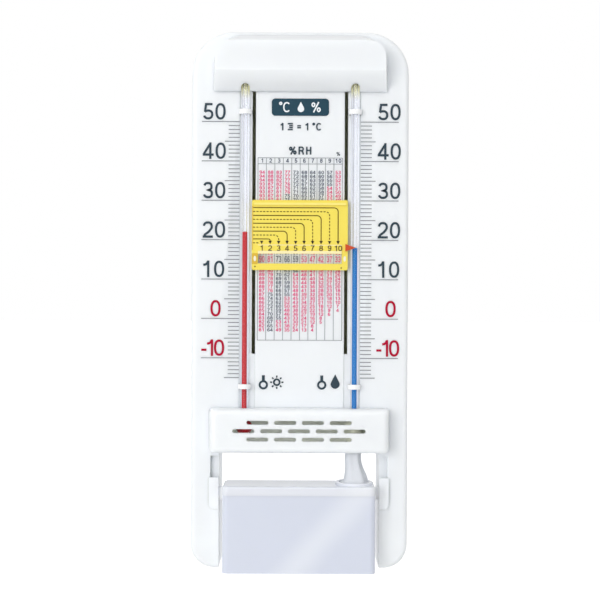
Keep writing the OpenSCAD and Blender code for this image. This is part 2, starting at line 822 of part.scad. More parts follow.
// The wick: a gauze sleeve over the bulb that hangs down into the tank
wick_top = bulb_z + bulb_d / 2 + neck_h;
wick_foot = tank_foot + tank_wall + tank_lift + wick_above_floor;
neck_r = tube_d / 2 + push_gap + gauze_t;
sleeve_r = bulb_d / 2 + push_gap + gauze_t;
wick_steps = 30;
fold_lean = 2.2;
wick_sides = 4 * wick_folds;

function blend(t) = t <= 0 ? 0 : t >= 1 ? 1 : t * t * (3 - 2 * t);

function mix(from, to, t) = from + (to - from) * blend(t);

function wick_r(z) =
    z > bulb_z + 1 ? mix(neck_r, sleeve_r, (bulb_z + bulb_d / 2 + 0.4 - z) / (bulb_d / 2 - 0.8))
    : z > guard_foot ? mix(sleeve_r, wick_waist_r, (bulb_z + 1 - z) / (bulb_z + 1 - guard_foot))
    : mix(wick_waist_r, wick_low_r, (guard_foot - z) / (guard_foot - lid_top));

function wick_fold(z) = wick_fold_h * blend((bulb_z - bulb_d / 2 - z) / 8);

function wick_ring(z) = [
    for (i = [0 : wick_sides - 1])
        let (
            a = 360 * i / wick_sides,
            r = wick_r(z) + wick_fold(z) * sin(wick_folds * a + fold_lean * (z - wick_foot))
        )
            [tube_x + r * cos(a), wick_y + r * sin(a), z]
];

module wick() {
    step = (wick_top - wick_foot) / wick_steps;
    points = [for (k = [0 : wick_steps]) each wick_ring(wick_foot + step * k)];
    sides = [
        for (k = [0 : wick_steps - 1], i = [0 : wick_sides - 1])
            let (j = (i + 1) % wick_sides, a = k * wick_sides, b = a + wick_sides)
                each [[a + i, b + i, b + j], [a + i, b + j, a + j]]
    ];
    caps = [
        [for (i = [0 : wick_sides - 1]) i],
        [for (i = [wick_sides - 1 : -1 : 0]) wick_steps * wick_sides + i]
    ];
    color("ivory") difference() {
        polyhedron(points, concat(sides, caps));
        translate([tube_x, tube_y, bulb_z]) {
            sphere(d = bulb_d + 2 * push_gap);
            cylinder(d = tube_d + 2 * push_gap, h = bulb_d + neck_h);
        }
    }
}

module wick_tie() {
    color("white") translate([tube_x, wick_y, wick_top - 1]) rotate_extrude()
        translate([neck_r + thread_d / 2, 0]) circle(d = thread_d);
}

front_panel();
back_cover();
cover_screw(-screw_top_x, screw_top_z);  // cover_screw_1
cover_screw(screw_top_x, screw_top_z);  // cover_screw_2
cover_screw(-screw_low_x, case_foot + screw_low_rise);  // cover_screw_3
cover_screw(screw_low_x, case_foot + screw_low_rise);  // cover_screw_4
top_hood();
bulb_guard();
tube(-1);  // dry_tube
tube(1);  // wet_tube
spirit(-1, dry_reads, "crimson");  // dry_spirit
spirit(1, wet_reads, "royalblue");  // wet_spirit
clip(-1, upper_clip_z);  // dry_upper_clip
clip(-1, lower_clip_z);  // dry_lower_clip
clip(1, upper_clip_z);  // wet_upper_clip
clip(1, lower_clip_z);  // wet_lower_clip
scale_lines(-1);  // dry_scale
scale_lines(1);  // wet_scale
humidity_table();
badge();
slider_plate();
magnifier_lens();
slider_pointer();
slider_keeper();
water_tank();
tank_lid();
wick();
wick_tie();
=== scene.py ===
import math

import bmesh
import bpy
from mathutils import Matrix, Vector


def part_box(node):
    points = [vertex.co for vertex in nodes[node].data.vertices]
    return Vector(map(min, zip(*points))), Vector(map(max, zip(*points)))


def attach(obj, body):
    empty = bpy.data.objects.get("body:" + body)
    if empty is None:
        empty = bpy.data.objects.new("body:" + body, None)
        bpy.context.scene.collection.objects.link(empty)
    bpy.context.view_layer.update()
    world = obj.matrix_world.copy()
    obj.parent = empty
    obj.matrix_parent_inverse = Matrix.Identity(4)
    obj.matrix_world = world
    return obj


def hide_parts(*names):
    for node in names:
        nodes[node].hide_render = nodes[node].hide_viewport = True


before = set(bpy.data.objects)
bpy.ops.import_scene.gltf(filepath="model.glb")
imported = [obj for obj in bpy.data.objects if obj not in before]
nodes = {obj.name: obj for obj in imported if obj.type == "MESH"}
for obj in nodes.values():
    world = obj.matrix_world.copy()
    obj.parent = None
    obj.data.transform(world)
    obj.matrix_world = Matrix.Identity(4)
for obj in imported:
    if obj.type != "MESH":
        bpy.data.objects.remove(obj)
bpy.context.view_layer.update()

mm = 0.001
scene = bpy.context.scene
print("frame:", len(nodes), "nodes from the CAD")


# A CAD node's lowest and highest corners in mm
def span(node):
    low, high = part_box(node)
    return low / mm, high / mm


# Camera: straight on, a hair off level
camera = {
    "place": (0.00018, -0.572, -0.100), "focalPixels": 1224, "picture": 600, "sensor": 36, "roll": -0.25,
}
eye = bpy.data.cameras.new("camera")
eye.sensor_width = camera["sensor"]
eye.lens = camera["sensor"] * camera["focalPixels"] / camera["picture"]
eyeObject = bpy.data.objects.new("camera", eye)
eyeObject.location = camera["place"]
eyeObject.rotation_euler = (math.radians(90), math.radians(camera["roll"]), 0)
scene.collection.objects.link(eyeObject)
scene.camera = eyeObject
scene.view_settings.view_transform = "Standard"


# A method that makes a Math node of a wire and one other value
def reckoning(operation, turned=False):
    def reckoned(self, other=0.0):
        first, second = (other, self) if turned else (self, other)
        return self.graph.node("ShaderNodeMath", {0: first, 1: second}, operation=operation)
    return reckoned


# A wire is a node's socket that can be reckoned with
class Wire:
    __add__ = __radd__ = reckoning("ADD")
    __mul__ = __rmul__ = reckoning("MULTIPLY")
    __sub__ = reckoning("SUBTRACT")
    __rsub__ = reckoning("SUBTRACT", turned=True)
    __truediv__ = reckoning("DIVIDE")
    __abs__ = reckoning("ABSOLUTE")
    sine = reckoning("SINE")
    modulo = reckoning("MODULO")
    under = reckoning("LESS_THAN")
    most = reckoning("MAXIMUM")
    least = reckoning("MINIMUM")

    def __init__(self, graph, socket):
        self.graph = graph
        self.socket = socket

    def clamped(self):
        return self.least(1.0).most(0.0)

    def out(self, name):
        return Wire(self.graph, self.socket.node.outputs[name])


class Graph:
    def __init__(self, tree):
        self.tree = tree
        tree.nodes.clear()

    def node(self, kind, inputs=None, output=0, **settings):
        made = self.tree.nodes.new(kind)
        for key, value in settings.items():
            setattr(made, key, value)
        for key, value in (inputs or {}).items():
            if isinstance(value, Wire):
                self.tree.links.new(value.socket, made.inputs[key])
            else:
                made.inputs[key].default_value = value
        return Wire(self, made.outputs[output]) if made.outputs else made

    def vector(self, **parts):
        return self.node("ShaderNodeCombineXYZ", parts)

    # 1 for rays of these kinds, else 0
    def rays(self, *kinds):
        path = self.node("ShaderNodeLightPath")
        first, *others = (path.out(f"Is {kind} Ray") for kind in kinds)
        return sum(others, first).least(1.0)

    # 1 for the rays that see the white backdrop, straight or in a gloss or through glass
    def seen(self):
        return self.rays("Camera", "Glossy", "Transmission")


# Three numbers from 0 to 255 are a display colour, which becomes Blender's linear one
def colour(tone):
    if isinstance(tone, Wire) or len(tone) == 4:
        return tone
    parts = [part / 255 for part in tone]
    return tuple(p / 12.92 if p <= 0.04045 else ((p + 0.055) / 1.055) ** 2.4 for p in parts) + (1.0,)


class Finish(Graph):
    labels = {
        "colour": "Base Color", "rough": "Roughness", "metal": "Metallic", "ior": "IOR", "normal": "Normal",
        "through": "Transmission Weight", "under": "Subsurface Weight", "underRadius": "Subsurface Radius",
        "underScale": "Subsurface Scale", "coat": "Coat Weight", "coatRough": "Coat Roughness",
        "sheen": "Sheen Weight", "specular": "Specular IOR Level",
    }

    def __init__(self, name):
        self.material = bpy.data.materials.new(name)
        self.material.use_nodes = True
        super().__init__(self.material.node_tree)
        self.place = self.node("ShaderNodeTexCoord").out("Object")

    def noise(self, scale, detail, rough=0.5):
        return self.node("ShaderNodeTexNoise", {
            "Vector": self.place, "Scale": scale, "Detail": detail, "Roughness": rough})

    def tint(self, factor, first, second):
        return self.node("ShaderNodeMix", {0: factor, 6: colour(first), 7: colour(second)}, 2,
                         data_type="RGBA", clamp_factor=True)

    def parts(self, vector=None):
        return self.node("ShaderNodeSeparateXYZ", {0: vector or self.place})

    # Ambient occlusion as a mask: 0 on open faces, towards 1 in corners tighter than reach; it places painted
    # corner shade
    def corners(self, reach):
        free = self.node("ShaderNodeAmbientOcclusion", {"Distance": reach}, samples=6, only_local=True)
        return ((1.0 - free.out("AO")) * 1.6 - 0.3).clamped()

    # 1 inside the upright box between two corners, else 0
    def within(self, box):
        parts = self.parts()
        found = 1.0
        for axis, low, high in zip("XYZ", *box):
            found = abs(parts.out(axis) - (low + high) / 2).under((high - low) / 2) * found
        return found

    def bump(self, height, depth, strength):
        return self.node("ShaderNodeBump", {"Height": height, "Distance": depth, "Strength": strength})

    def shine(self, **sockets):
        return self.node("ShaderNodeBsdfPrincipled", {
            self.labels[key]: value for key, value in sockets.items()})

    # Lamps and soft light go straight through the piece, apart from what it holds back
    def passing(self, surface, tone):
        empty = self.node("ShaderNodeBsdfTransparent", {"Color": tone})
        return self.node("ShaderNodeMixShader", {0: self.rays("Shadow", "Diffuse"), 1: surface, 2: empty})

    def done(self, surface):
        self.node("ShaderNodeOutputMaterial", {"Surface": surface})
        return self.material


# Moulded plastic: a cloud of two near tones, a fine grain, light that goes a little way in
def plastic(name, main, shade, rough, grain=1400, depth=0.000012, under=0.0, coat=0.0,
            through=(1.0, 1.0, 0.95), inside=None, paintedCreviceShade=None):
    cloudRough, grainRough, bumpStrength = 0.08, 0.05, 0.5
    made = Finish(name)
    cloudy = made.noise(38, 3)
    fine = made.noise(grain, 3)
    base = made.tint(cloudy, main, shade)
    # Painted shade colour: an olive tone over a box where shade falls, behind the guard and inside the case;
    # on the back cover it is lighter too
    if inside:
        base = made.tint(made.within(inside["box"]), base, inside["tone"])
    # Painted shade: a darker grey-olive tone in tight corners and creases, left out in the right leg's window
    if paintedCreviceShade:
        creviceShadeMask = made.corners(paintedCreviceShade["reach"]) * (1.0 - made.within(paintedCreviceShade["shadeLeftOut"]))
        base = made.tint(creviceShadeMask, base, paintedCreviceShade["tone"])
    return made.done(made.shine(
        colour=base, rough=rough + cloudRough * (cloudy - 0.5) + grainRough * (fine - 0.5),
        normal=made.bump(fine, depth, bumpStrength), under=under, underScale=0.003, underRadius=through,
        coat=coat, coatRough=0.15))


# Milky polypropylene, with a lighter slanting streak painted into its colour: a painted reflection
def milky(name, main, streak, rough, paintedLugLight=None):
    band = {"way": (0.760, 0.0, -0.650), "middle": 0.1396, "half": 0.0105, "waver": 0.012, "strength": 0.85}
    mottleShade, grainRough = 0.965, 0.06
    made = Finish(name)
    across = made.node("ShaderNodeVectorMath", {0: made.place, 1: band["way"]},
                       operation="DOT_PRODUCT").out("Value")
    cloud = made.noise(14, 2)
    off = abs(across - band["middle"] + band["waver"] * (cloud - 0.5))
    near = (1.0 - off / band["half"]).most(0.0)
    soft = near * near * (3.0 - 2.0 * near)
    fine = made.noise(700, 3)
    darker = tuple(mottleShade * part for part in colour(main)[:3]) + (1.0,)
    base = made.tint(soft * band["strength"], made.tint(made.noise(60, 3), main, darker), streak)
    if paintedLugLight:  # painted light: lightened where the lug ends sit in the shaded gap by the legs
        base = made.tint(1.0 - abs(made.parts().out("X")).under(paintedLugLight["from"]), base, paintedLugLight["tone"])
    return made.done(made.shine(
        colour=base, rough=rough + grainRough * (fine - 0.5), normal=made.bump(fine, 0.00001, 0.4),
        under=0.25, underScale=0.003, underRadius=(1.0, 1.0, 1.2)))


def ink(name, main, worn):
    rough, filmRough = 0.42, 0.2
    made = Finish(name)
    film = made.noise(900, 4, 0.6)
    return made.done(made.shine(
        colour=made.tint(film * 0.5, main, worn), rough=rough + filmRough * (film - 0.5), specular=0.12))


def clear(name, tone, drawn, ior):
    made = Finish(name)
    streak = made.noise(60, 2)
    glass = made.shine(colour=made.tint(streak, tone, drawn), rough=0.0, ior=ior, through=1.0,
                       normal=made.bump(streak, 0.000002, 0.3))
    return made.done(made.passing(glass, (0.97, 0.975, 0.98, 1)))


# The opal strip at the back of a stem's bore, with a straw tone painted towards its top: painted shade where
# the stem runs into the hood
def enamel(name, main, hoodShadeTone, start, end):
    made = Finish(name)
    hoodShade = ((made.parts().out("Z") - start) / (end - start)).clamped()
    cloud = made.noise(120, 2)
    base = made.tint(hoodShade * (0.85 + 0.15 * cloud), main, hoodShadeTone)
    return made.done(made.shine(colour=base, rough=0.5 + 0.05 * cloud, specular=0.2))


def spirit(name, main, deep):
    made = Finish(name)
    swirl = made.noise(90, 1)
    dyed = made.shine(colour=made.tint(swirl * 0.5, main, deep), rough=0.6 + 0.05 * swirl, specular=0.1)
    return made.done(made.passing(dyed, (0.9, 0.9, 0.92, 1)))


def steel(name):
    made = Finish(name)
    cloudy = made.noise(500, 4)
    base = made.tint(cloudy, (0.62, 0.63, 0.65, 1), (0.45, 0.46, 0.48, 1))
    return made.done(made.shine(
        colour=base, metal=1.0, rough=0.25 + 0.2 * cloudy, normal=made.bump(cloudy, 0.00001, 0.4)))


# A plain weave that follows the sheet's own UV map; across and along are its threads
def gauze(name, main, gap, across, along, depth, inside=None):
    made = Finish(name)
    uv = made.parts(made.node("ShaderNodeUVMap", uv_map="weave"))
    warp = (uv.out("X") * (across * math.tau)).sine()
    weft = (uv.out("Y") * (along * math.tau)).sine()
    wobble = made.noise(1500, 2)
    cloth = (abs(warp) * 0.5 + abs(weft) * 0.5 + 0.25 * (wobble - 0.5)).clamped()
    damp = made.noise(90, 3)
    base = made.tint((1.0 - cloth) * 0.75 + 0.2 * (damp - 0.5), main, gap)
    # Painted light: the gauze in the guard's shade is lightened to a warm olive tone
    if inside:
        base = made.tint(inside["strength"] * made.within(inside["box"]), base, inside["tone"])
    return made.done(made.shine(
        colour=base, rough=0.85 + 0.1 * (damp - 0.5), sheen=0.2, normal=made.bump(cloth, depth, 0.5),
        under=0.1, underScale=0.002, underRadius=(1.0, 1.0, 1.0)))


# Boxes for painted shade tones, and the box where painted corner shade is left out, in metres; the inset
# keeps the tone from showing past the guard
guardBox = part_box("bulb_guard")
inset = Vector((0.001, 0.0, 0.001))
areas = {
    "behindGuard": (Vector((guardBox[0].x, -0.0252, guardBox[0].z)) + inset,
                    Vector((guardBox[1].x, -0.0001, guardBox[1].z)) - inset),
    "underGuard": (guardBox[0], Vector((guardBox[1].x, 0.0, guardBox[1].z))),
    "insideCase": ((-0.047, -0.03, -0.22), (0.047, -0.0008, 0.02)),
    "rightWindow": (Vector((0.03, -0.04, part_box("water_tank")[0].z + 0.041)),
                    Vector((0.06, 0.01, guardBox[0].z))),  # the light reaches into it
}
plastic("casePlastic", (243, 248, 253), (241, 246, 252), 0.36, under=0.75,
        inside={"box": areas["behindGuard"], "tone": (252, 255, 234)},
        paintedCreviceShade={"reach": 0.002, "tone": (186, 192, 182), "shadeLeftOut": areas["rightWindow"]})
plastic("coverPlastic", (226, 228, 230), (218, 220, 223), 0.5, 900, 0.00003,
        inside={"box": areas["insideCase"], "tone": (254, 255, 216)})
plastic("clipPlastic", (250, 250, 250), (244, 245, 246), 0.25, under=0.05)
plastic("sliderPlastic", (243, 224, 92), (239, 217, 78), 0.3, under=0.12, coat=0.1, through=(1.0, 0.8, 0.3))
# Painted shade on the slider's left frame and left edge
plastic("sideAmber", (222, 184, 46), (208, 168, 36), 0.3)
# Painted highlights on the raised band above the lens
plastic("paleBand", (249, 238, 188), (246, 231, 168), 0.22, coat=0.15)
# A painted highlight on the lip's rounded front
plastic("paleLip", (250, 235, 138), (247, 229, 122), 0.26, coat=0.1)
plastic("tabPlastic", (250, 246, 222), (244, 238, 205), 0.2, under=0.1)
plastic("pointerPlastic", (205, 69, 0), (194, 60, 0), 0.32)
milky("tankPlastic", (213, 218, 232), (226, 230, 240), 0.3,
      paintedLugLight={"from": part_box("tank_lid")[1].x - 0.0001, "tone": (252, 253, 255)})
milky("lidPlastic", (230, 233, 243), (237, 240, 247), 0.14)
clear("clearGlass", (0.985, 0.988, 0.995, 1), (0.97, 0.975, 0.99, 1), 1.47)
clear("lensPlastic", (0.99, 0.99, 0.99, 1), (0.975, 0.98, 0.98, 1), 1.49)
enamel("opalStrip", (240, 242, 248), (230, 226, 172), -0.0105, -0.006)
spirit("redSpirit", (206, 34, 44), (188, 20, 36))
spirit("blueSpirit", (2, 124, 203), (0, 104, 186))
steel("screwSteel")
gauze("wickGauze", (229, 232, 237), (209, 213, 220), 34, 62, 0.00005,
      inside={"box": areas["underGuard"], "tone": (255, 255, 228), "strength": 0.85})
gauze("tieThread", (240, 240, 238), (205, 205, 203), 3, 240, 0.00003)
ink("lineInk", (130, 135, 141), (146, 150, 156))
ink("tableInk", (138, 144, 152), (158, 163, 170))
ink("slateInk", (51, 66, 76), (61, 76, 86))
ink("crimsonInk", (172, 0, 46), (180, 8, 56))
ink("smallGrey", (66, 78, 100), (84, 96, 118))
ink("smallRed", (222, 60, 122), (228, 80, 138))
ink("sliderInk", (72, 54, 18), (96, 74, 28))
ink("arrowInk", (40, 32, 28), (56, 46, 38))
ink("bandInk", (74, 60, 40), (92, 76, 50))
ink("badgeInk", (36, 66, 81), (46, 76, 91))
ink("whiteInk", (240, 243, 246), (228, 232, 236))
finishes = bpy.data.materials
print("materials:", len(finishes))


# Mesh helpers
def settle(piece, body, stands=()):
    if piece.name not in scene.collection.objects:
        scene.collection.objects.link(piece)
    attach(piece, body)
    if stands:
        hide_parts(*stands)
    return piece


def newPiece(mesh, finish, body, stands=()):
    mesh.materials.append(finishes[finish])
    return settle(bpy.data.objects.new(mesh.name, mesh), body, stands)


def meshObject(name, points, faces, finish, body, stands=()):
    mesh = bpy.data.meshes.new(name)
    mesh.from_pydata([tuple(p) for p in points], [], faces)
    mesh.update()
    return newPiece(mesh, finish, body, stands)


def formMesh(name, form):
    mesh = bpy.data.meshes.new(name)
    form.to_mesh(mesh)
    form.free()
    return mesh


# Turns the piece's modifiers into a plain mesh
def plainMesh(piece):
    deps = bpy.context.evaluated_depsgraph_get()
    made = bpy.data.meshes.new_from_object(
        piece.evaluated_get(deps), preserve_all_data_layers=True, depsgraph=deps)
    piece.modifiers.clear()
    piece.data = made


def smooth(piece, sidesOnly=False):
    for face in piece.data.polygons:
        face.use_smooth = not sidesOnly or len(face.vertices) == 4


def turnOutwards(piece):
    form = bmesh.new()
    form.from_mesh(piece.data)
    bmesh.ops.recalc_face_normals(form, faces=form.faces)
    form.to_mesh(piece.data)
    form.free()


# Printed faces look to the front, along -Y
def turnToFront(form):
    for face in form.faces:
        face.normal_update()
        if face.normal.y > 0:
            face.normal_flip()


# Flat faces stay flat up to their soft edges: a corner's normal leans to the larger of the faces there
def evenNormals(mesh, limit=50):
    meeting = [[] for _ in mesh.vertices]
    for face in mesh.polygons:
        face.use_smooth = True
        for index in face.vertices:
            meeting[index].append(face)
    least = math.cos(math.radians(limit))
    normals = []
    for face in mesh.polygons:
        for index in face.vertices:
            near = [other for other in meeting[index] if other.normal.dot(face.normal) > least]
            total = sum((other.normal * other.area for other in near), Vector())
            normals.append(total.normalized() if total.length > 0 else face.normal)
    mesh.normals_split_custom_set(normals)


# A node's own shape with whole flat faces. An edge in mm is taken off the sharp edges over 500 times as long
def softCopy(node, name, finish, body, edge=0.0, keep=None):
    soft = {"merge": 0.000002, "flat": 0.6, "sharp": 33, "over": 500, "steps": 2}
    form = bmesh.new()
    form.from_mesh(nodes[node].data)
    bmesh.ops.remove_doubles(form, verts=form.verts, dist=soft["merge"])
    bmesh.ops.dissolve_limit(form, angle_limit=math.radians(soft["flat"]), verts=form.verts, edges=form.edges)
    bmesh.ops.recalc_face_normals(form, faces=form.faces)
    if edge:
        sharp = [
            e for e in form.edges
            if e.is_manifold and e.calc_face_angle(0) > math.radians(soft["sharp"])
            and e.calc_length() > edge * mm * soft["over"]
            and (not keep or keep((e.verts[0].co + e.verts[1].co) / 2 / mm))
        ]
        bmesh.ops.bevel(form, geom=sharp, offset=edge * mm, offset_type="OFFSET", segments=soft["steps"],
                        profile=0.5, affect="EDGES", clamp_overlap=False, loop_slide=True)
    mesh = formMesh(name, form)
    mesh.update()
    evenNormals(mesh)
    return newPiece(mesh, finish, body, (node,))


# The case and what is fixed to it; depths are in mm from the wall
case = {
    "edge": 0.2, "coverEdge": 0.25, "face": -24.9, "back": -0.1, "bayHalf": 36, "bayHead": -149,
    "bayDepth": -18,
}


def caseEdges(p):
    inBay = abs(p.x) < case["bayHalf"] and p.z < case["bayHead"] and p.y < case["bayDepth"]
    return p.y < case["face"] or p.y > case["back"] or inBay


softCopy("front_panel", "casePanel", "casePlastic", "case", case["edge"], caseEdges)
softCopy("back_cover", "caseBack", "coverPlastic", "case", case["coverEdge"])
for count in range(1, 5):
    softCopy(f"cover_screw_{count}", f"coverScrew{count}", "screwSteel", "case")
softCopy("top_hood", "topHood", "casePlastic", "case")
softCopy("bulb_guard", "bulbGuard", "casePlastic", "case")
for side in ("dry", "wet"):
    for level in ("upper", "lower"):
        softCopy(f"{side}_{level}_clip", f"{side}{level.capitalize()}Clip", "clipPlastic", "case")
print("case done")

softCopy("slider_plate", "readerPlate", "sliderPlastic", "reader")
softCopy("slider_pointer", "readerPointer", "pointerPlastic", "reader")
softCopy("slider_keeper", "readerKeeper", "sliderPlastic", "reader")
print("reader done")
softCopy("water_tank", "waterTank", "tankPlastic", "tank")
softCopy("tank_lid", "tankLid", "lidPlastic", "tank")
print("tank done")

# The thermometers
tubeLow, tubeHigh = span("wet_tube")
thermometer = {
    "across": (tubeLow.x + tubeHigh.x) / 2, "depth": (tubeLow.y + tubeHigh.y) / 2, "top": tubeHigh.z,
    "bulb": (tubeHigh.x - tubeLow.x) / 2, "stem": 1.9, "bore": 0.75, "bulbWall": 0.5, "boreEnd": 2.0,
    "around": 56, "bulbSteps": 18, "topSteps": 8, "boreSteps": 6,
    "film": 0.012,  # the spirit wets the glass
    "rim": 0.2, "flat": 0.5, "dip": 0.15,  # the spirit's hollow head
    "stripInner": 1.3, "stripOuter": 1.45, "stripFrom": 12, "stripSteps": 18, "stripAbove": 5.1,
}
thermometer["bulbZ"] = tubeLow.z + thermometer["bulb"]


# A point in metres on a circle round an upright axis, all given in mm
def around(centre, radius, turn, height):
    return (centre[0] + radius * math.cos(turn)) * mm, (centre[1] + radius * math.sin(turn)) * mm, height * mm


# The faces between two rings of points, which start at low and at high
def ringFaces(low, high, sides):
    return [(low + k, low + (k + 1) % sides, high + (k + 1) % sides, high + k) for k in range(sides)]


# Points and faces of rings round an upright axis; a ring of almost no radius is a pole
def lathe(centre, rows, sides):
    points, faces, rings = [], [], []
    for radius, height in rows:
        count = sides if radius > mm else 1
        rings.append((len(points), count))
        points += [around(centre, radius, math.tau * step / sides, height) for step in range(count)]
    for (low, lowCount), (high, highCount) in zip(rings, rings[1:]):
        for a, b, c, d in ringFaces(low, high, sides):
            faces.append((low, c, d) if lowCount == 1 else (a, b, high) if highCount == 1 else (a, b, c, d))
    return points, faces


# Points of an arc in degrees; over 2, square makes it squarer
def oval(x, z, wide, high, start=0, end=360, steps=24, square=2.0):
    found = []
    for k in range(steps + 1):
        turn = math.radians(start + (end - start) * k / steps)
        c, s = math.cos(turn), math.sin(turn)
        found.append((x + wide * math.copysign(abs(c) ** (2 / square), c),
                      z + high * math.copysign(abs(s) ** (2 / square), s)))
    return found


# The profile of a bulb from its lowest point to where it meets the stem
def bulbRows(radius, stem, height, steps):
    return oval(0, height, radius, radius, -90, math.degrees(math.acos(stem / radius)), steps)


def roundTop(radius, height, steps):
    return oval(0, height - radius, radius, radius, 0, 90, steps)


# A curved strip behind the bore, as a closed thin body
def backStrip(centre, low, high):
    t = thermometer
    points, faces = [], []
    for k in range(t["stripSteps"] + 1):
        turn = math.radians(t["stripFrom"] + (180 - 2 * t["stripFrom"]) * k / t["stripSteps"])
        for radius in (t["stripInner"], t["stripOuter"]):
            points += [around(centre, radius, turn, height) for height in (low, high)]
    last = 4 * t["stripSteps"]
    for a in range(0, last, 4):
        b = a + 4
        faces += [(a, a + 1, b + 1, b), (a + 2, b + 2, b + 3, a + 3)]
        faces += [(a, b, b + 2, a + 2), (a + 1, a + 3, b + 3, b + 1)]
    return points, faces + [(0, 2, 3, 1), (last, last + 1, last + 3, last + 2)]


def makeThermometer(side, sign, dye):
    t = thermometer
    centre = (sign * t["across"], t["depth"])
    reads = span(f"{side}_spirit")[1].z
    boreTop = t["top"] - t["boreEnd"]
    hollow = t["bulb"] - t["bulbWall"]
    outside = bulbRows(t["bulb"], t["stem"], t["bulbZ"], t["bulbSteps"])
    outside += roundTop(t["stem"], t["top"], t["topSteps"])
    inside = bulbRows(hollow, t["bore"], t["bulbZ"], t["bulbSteps"])
    inside += roundTop(t["bore"], boreTop, t["boreSteps"])
    points, faces = lathe(centre, outside, t["around"])
    innerPoints, innerFaces = lathe(centre, inside, t["around"])
    faces += [tuple(reversed([index + len(points) for index in face])) for face in innerFaces]
    smooth(meshObject(f"{side}Glass", points + innerPoints, faces, "clearGlass", "case",
                      (f"{side}_tube",)))
    points, faces = backStrip(centre, t["bulbZ"] + t["stripAbove"], boreTop)
    meshObject(f"{side}Strip", points, faces, "opalStrip", "case")
    column = bulbRows(hollow + t["film"], t["bore"] + t["film"], t["bulbZ"], t["bulbSteps"])
    column += [(t["bore"] + t["film"], reads - t["rim"]), (t["flat"], reads), (0.0, reads - t["dip"])]
    points, faces = lathe(centre, column, t["around"])
    smooth(meshObject(f"{side}Spirit", points, faces, dye, "case", (f"{side}_spirit",)))


makeThermometer("dry", -1, "redSpirit")
makeThermometer("wet", 1, "blueSpirit")
print("thermometers done")

# Numerals: one stroke width, drawn as flat ribbons
stroke = 0.135


# The inked width of a sign of height 1, and its strokes
def glyphStrokes(sign, steps):
    low, high = stroke / 2, 1 - stroke / 2
    half = max(4, steps // 2)

    def bow(x, z, wide, tall, start=0, end=360, count=steps):
        return oval(x, z, wide, tall, start, end, count, 2.3)

    table = {
        "0": (0.63, [bow(0.315, 0.5, 0.2425, 0.4275)]),
        "1": (0.37, [[(0.297, 0), (0.297, 1)], [(0.0, 0.74), (0.14, 0.765), (0.235, 0.84), (0.28, 0.96)]]),
        "2": (0.62, [bow(0.31, 0.69, 0.235, 0.238, 175, -28, half)
                     + [(0.36, 0.36), (0.14, 0.2), (0.075, low)], [(0.0, low), (0.61, low)]]),
        "3": (0.62, [bow(0.305, 0.715, 0.215, 0.213, 165, -90, half)
                     + bow(0.31, 0.287, 0.238, 0.215, 88, -168, half)]),
        "4": (0.66, [[(0.46, 0), (0.46, 1)], [(0.46, 0.93), (0.07, 0.31)], [(0.0, 0.265), (0.66, 0.265)]]),
        "5": (0.62, [[(0.56, high), (0.17, high), (0.105, 0.47)],
                     bow(0.3, 0.31, 0.245, 0.2375, 142, -165, half + 2)]),
        "6": (0.62, [bow(0.31, 0.3, 0.235, 0.2275),
                     [(0.08, 0.33), (0.085, 0.58), (0.14, 0.8), (0.27, 0.92), (0.42, 0.91), (0.53, 0.76)]]),
        "7": (0.6, [[(0.0, high), (0.53, high), (0.36, 0.62), (0.245, 0.3), (0.2, 0)]]),
        "8": (0.62, [bow(0.31, 0.73, 0.2, 0.1975), bow(0.31, 0.3, 0.2375, 0.2275)]),
        "9": (0.62, [bow(0.31, 0.7, 0.235, 0.2275),
                     [(0.54, 0.67), (0.535, 0.42), (0.48, 0.2), (0.35, 0.08), (0.2, 0.09), (0.09, 0.24)]]),
        "-": (0.31, [[(0, 0.37), (0.31, 0.37)]]),
        "C": (0.7, [bow(0.36, 0.5, 0.29, 0.4275, 42, 318)]),
        "R": (0.66, [[(0.0725, 0), (0.0725, 1)],
                     [(0.0725, high), *oval(0.38, 0.7075, 0.2, 0.22, 90, -90, half), (0.0725, 0.4875)],
                     [(0.36, 0.47), (0.52, 0.33), (0.6, 0)]]),
        "H": (0.64, [[(0.0725, 0), (0.0725, 1)], [(0.5675, 0), (0.5675, 1)],
                     [(0.0725, 0.52), (0.5675, 0.52)]]),
        "%": (0.9, [oval(0.19, 0.74, 0.13, 0.17, steps=steps),
                    oval(0.71, 0.26, 0.13, 0.17, steps=steps), [(0.2, 0.0), (0.7, 1.0)]]),
        "o": (0.3, [oval(0.15, 0.86, 0.1, 0.1, steps=steps)]),
        " ": (0.2, []),
        "=": (0.5, [[(0, 0.62), (0.5, 0.62)], [(0, 0.36), (0.5, 0.36)]]),
        "|": (0.7, [[(0.0, 0.1), (0.7, 0.1)], [(0.2, 0.37), (0.7, 0.37)], [(0.2, 0.63), (0.7, 0.63)],
                    [(0.0, 0.9), (0.7, 0.9)]]),  # a small scale
    }
    return table[sign]


# A path as a band of four-sided faces with square ends; one that ends where it starts is closed
def ribbon(path, width):
    ways = [Vector(p) for p in path]
    closed = (ways[0] - ways[-1]).length < 0.001
    if closed:
        ways.pop()
    count = len(ways)
    points = []
    for k, here in enumerate(ways):
        back = here - ways[k - 1] if k or closed else None
        ahead = ways[(k + 1) % count] - here if k + 1 < count or closed else None
        back, ahead = (back or ahead).normalized(), (ahead or back).normalized()
        normal = Vector((-(back + ahead).y, (back + ahead).x)).normalized()
        reach = width / 2 / max(0.5, normal.dot(Vector((-back.y, back.x))))
        points += [here + normal * reach, here - normal * reach]
    bands = count if closed else count - 1
    faces = [(2 * k, 2 * k + 1, (2 * k + 3) % (2 * count), (2 * k + 2) % (2 * count)) for k in range(bands)]
    return points, faces


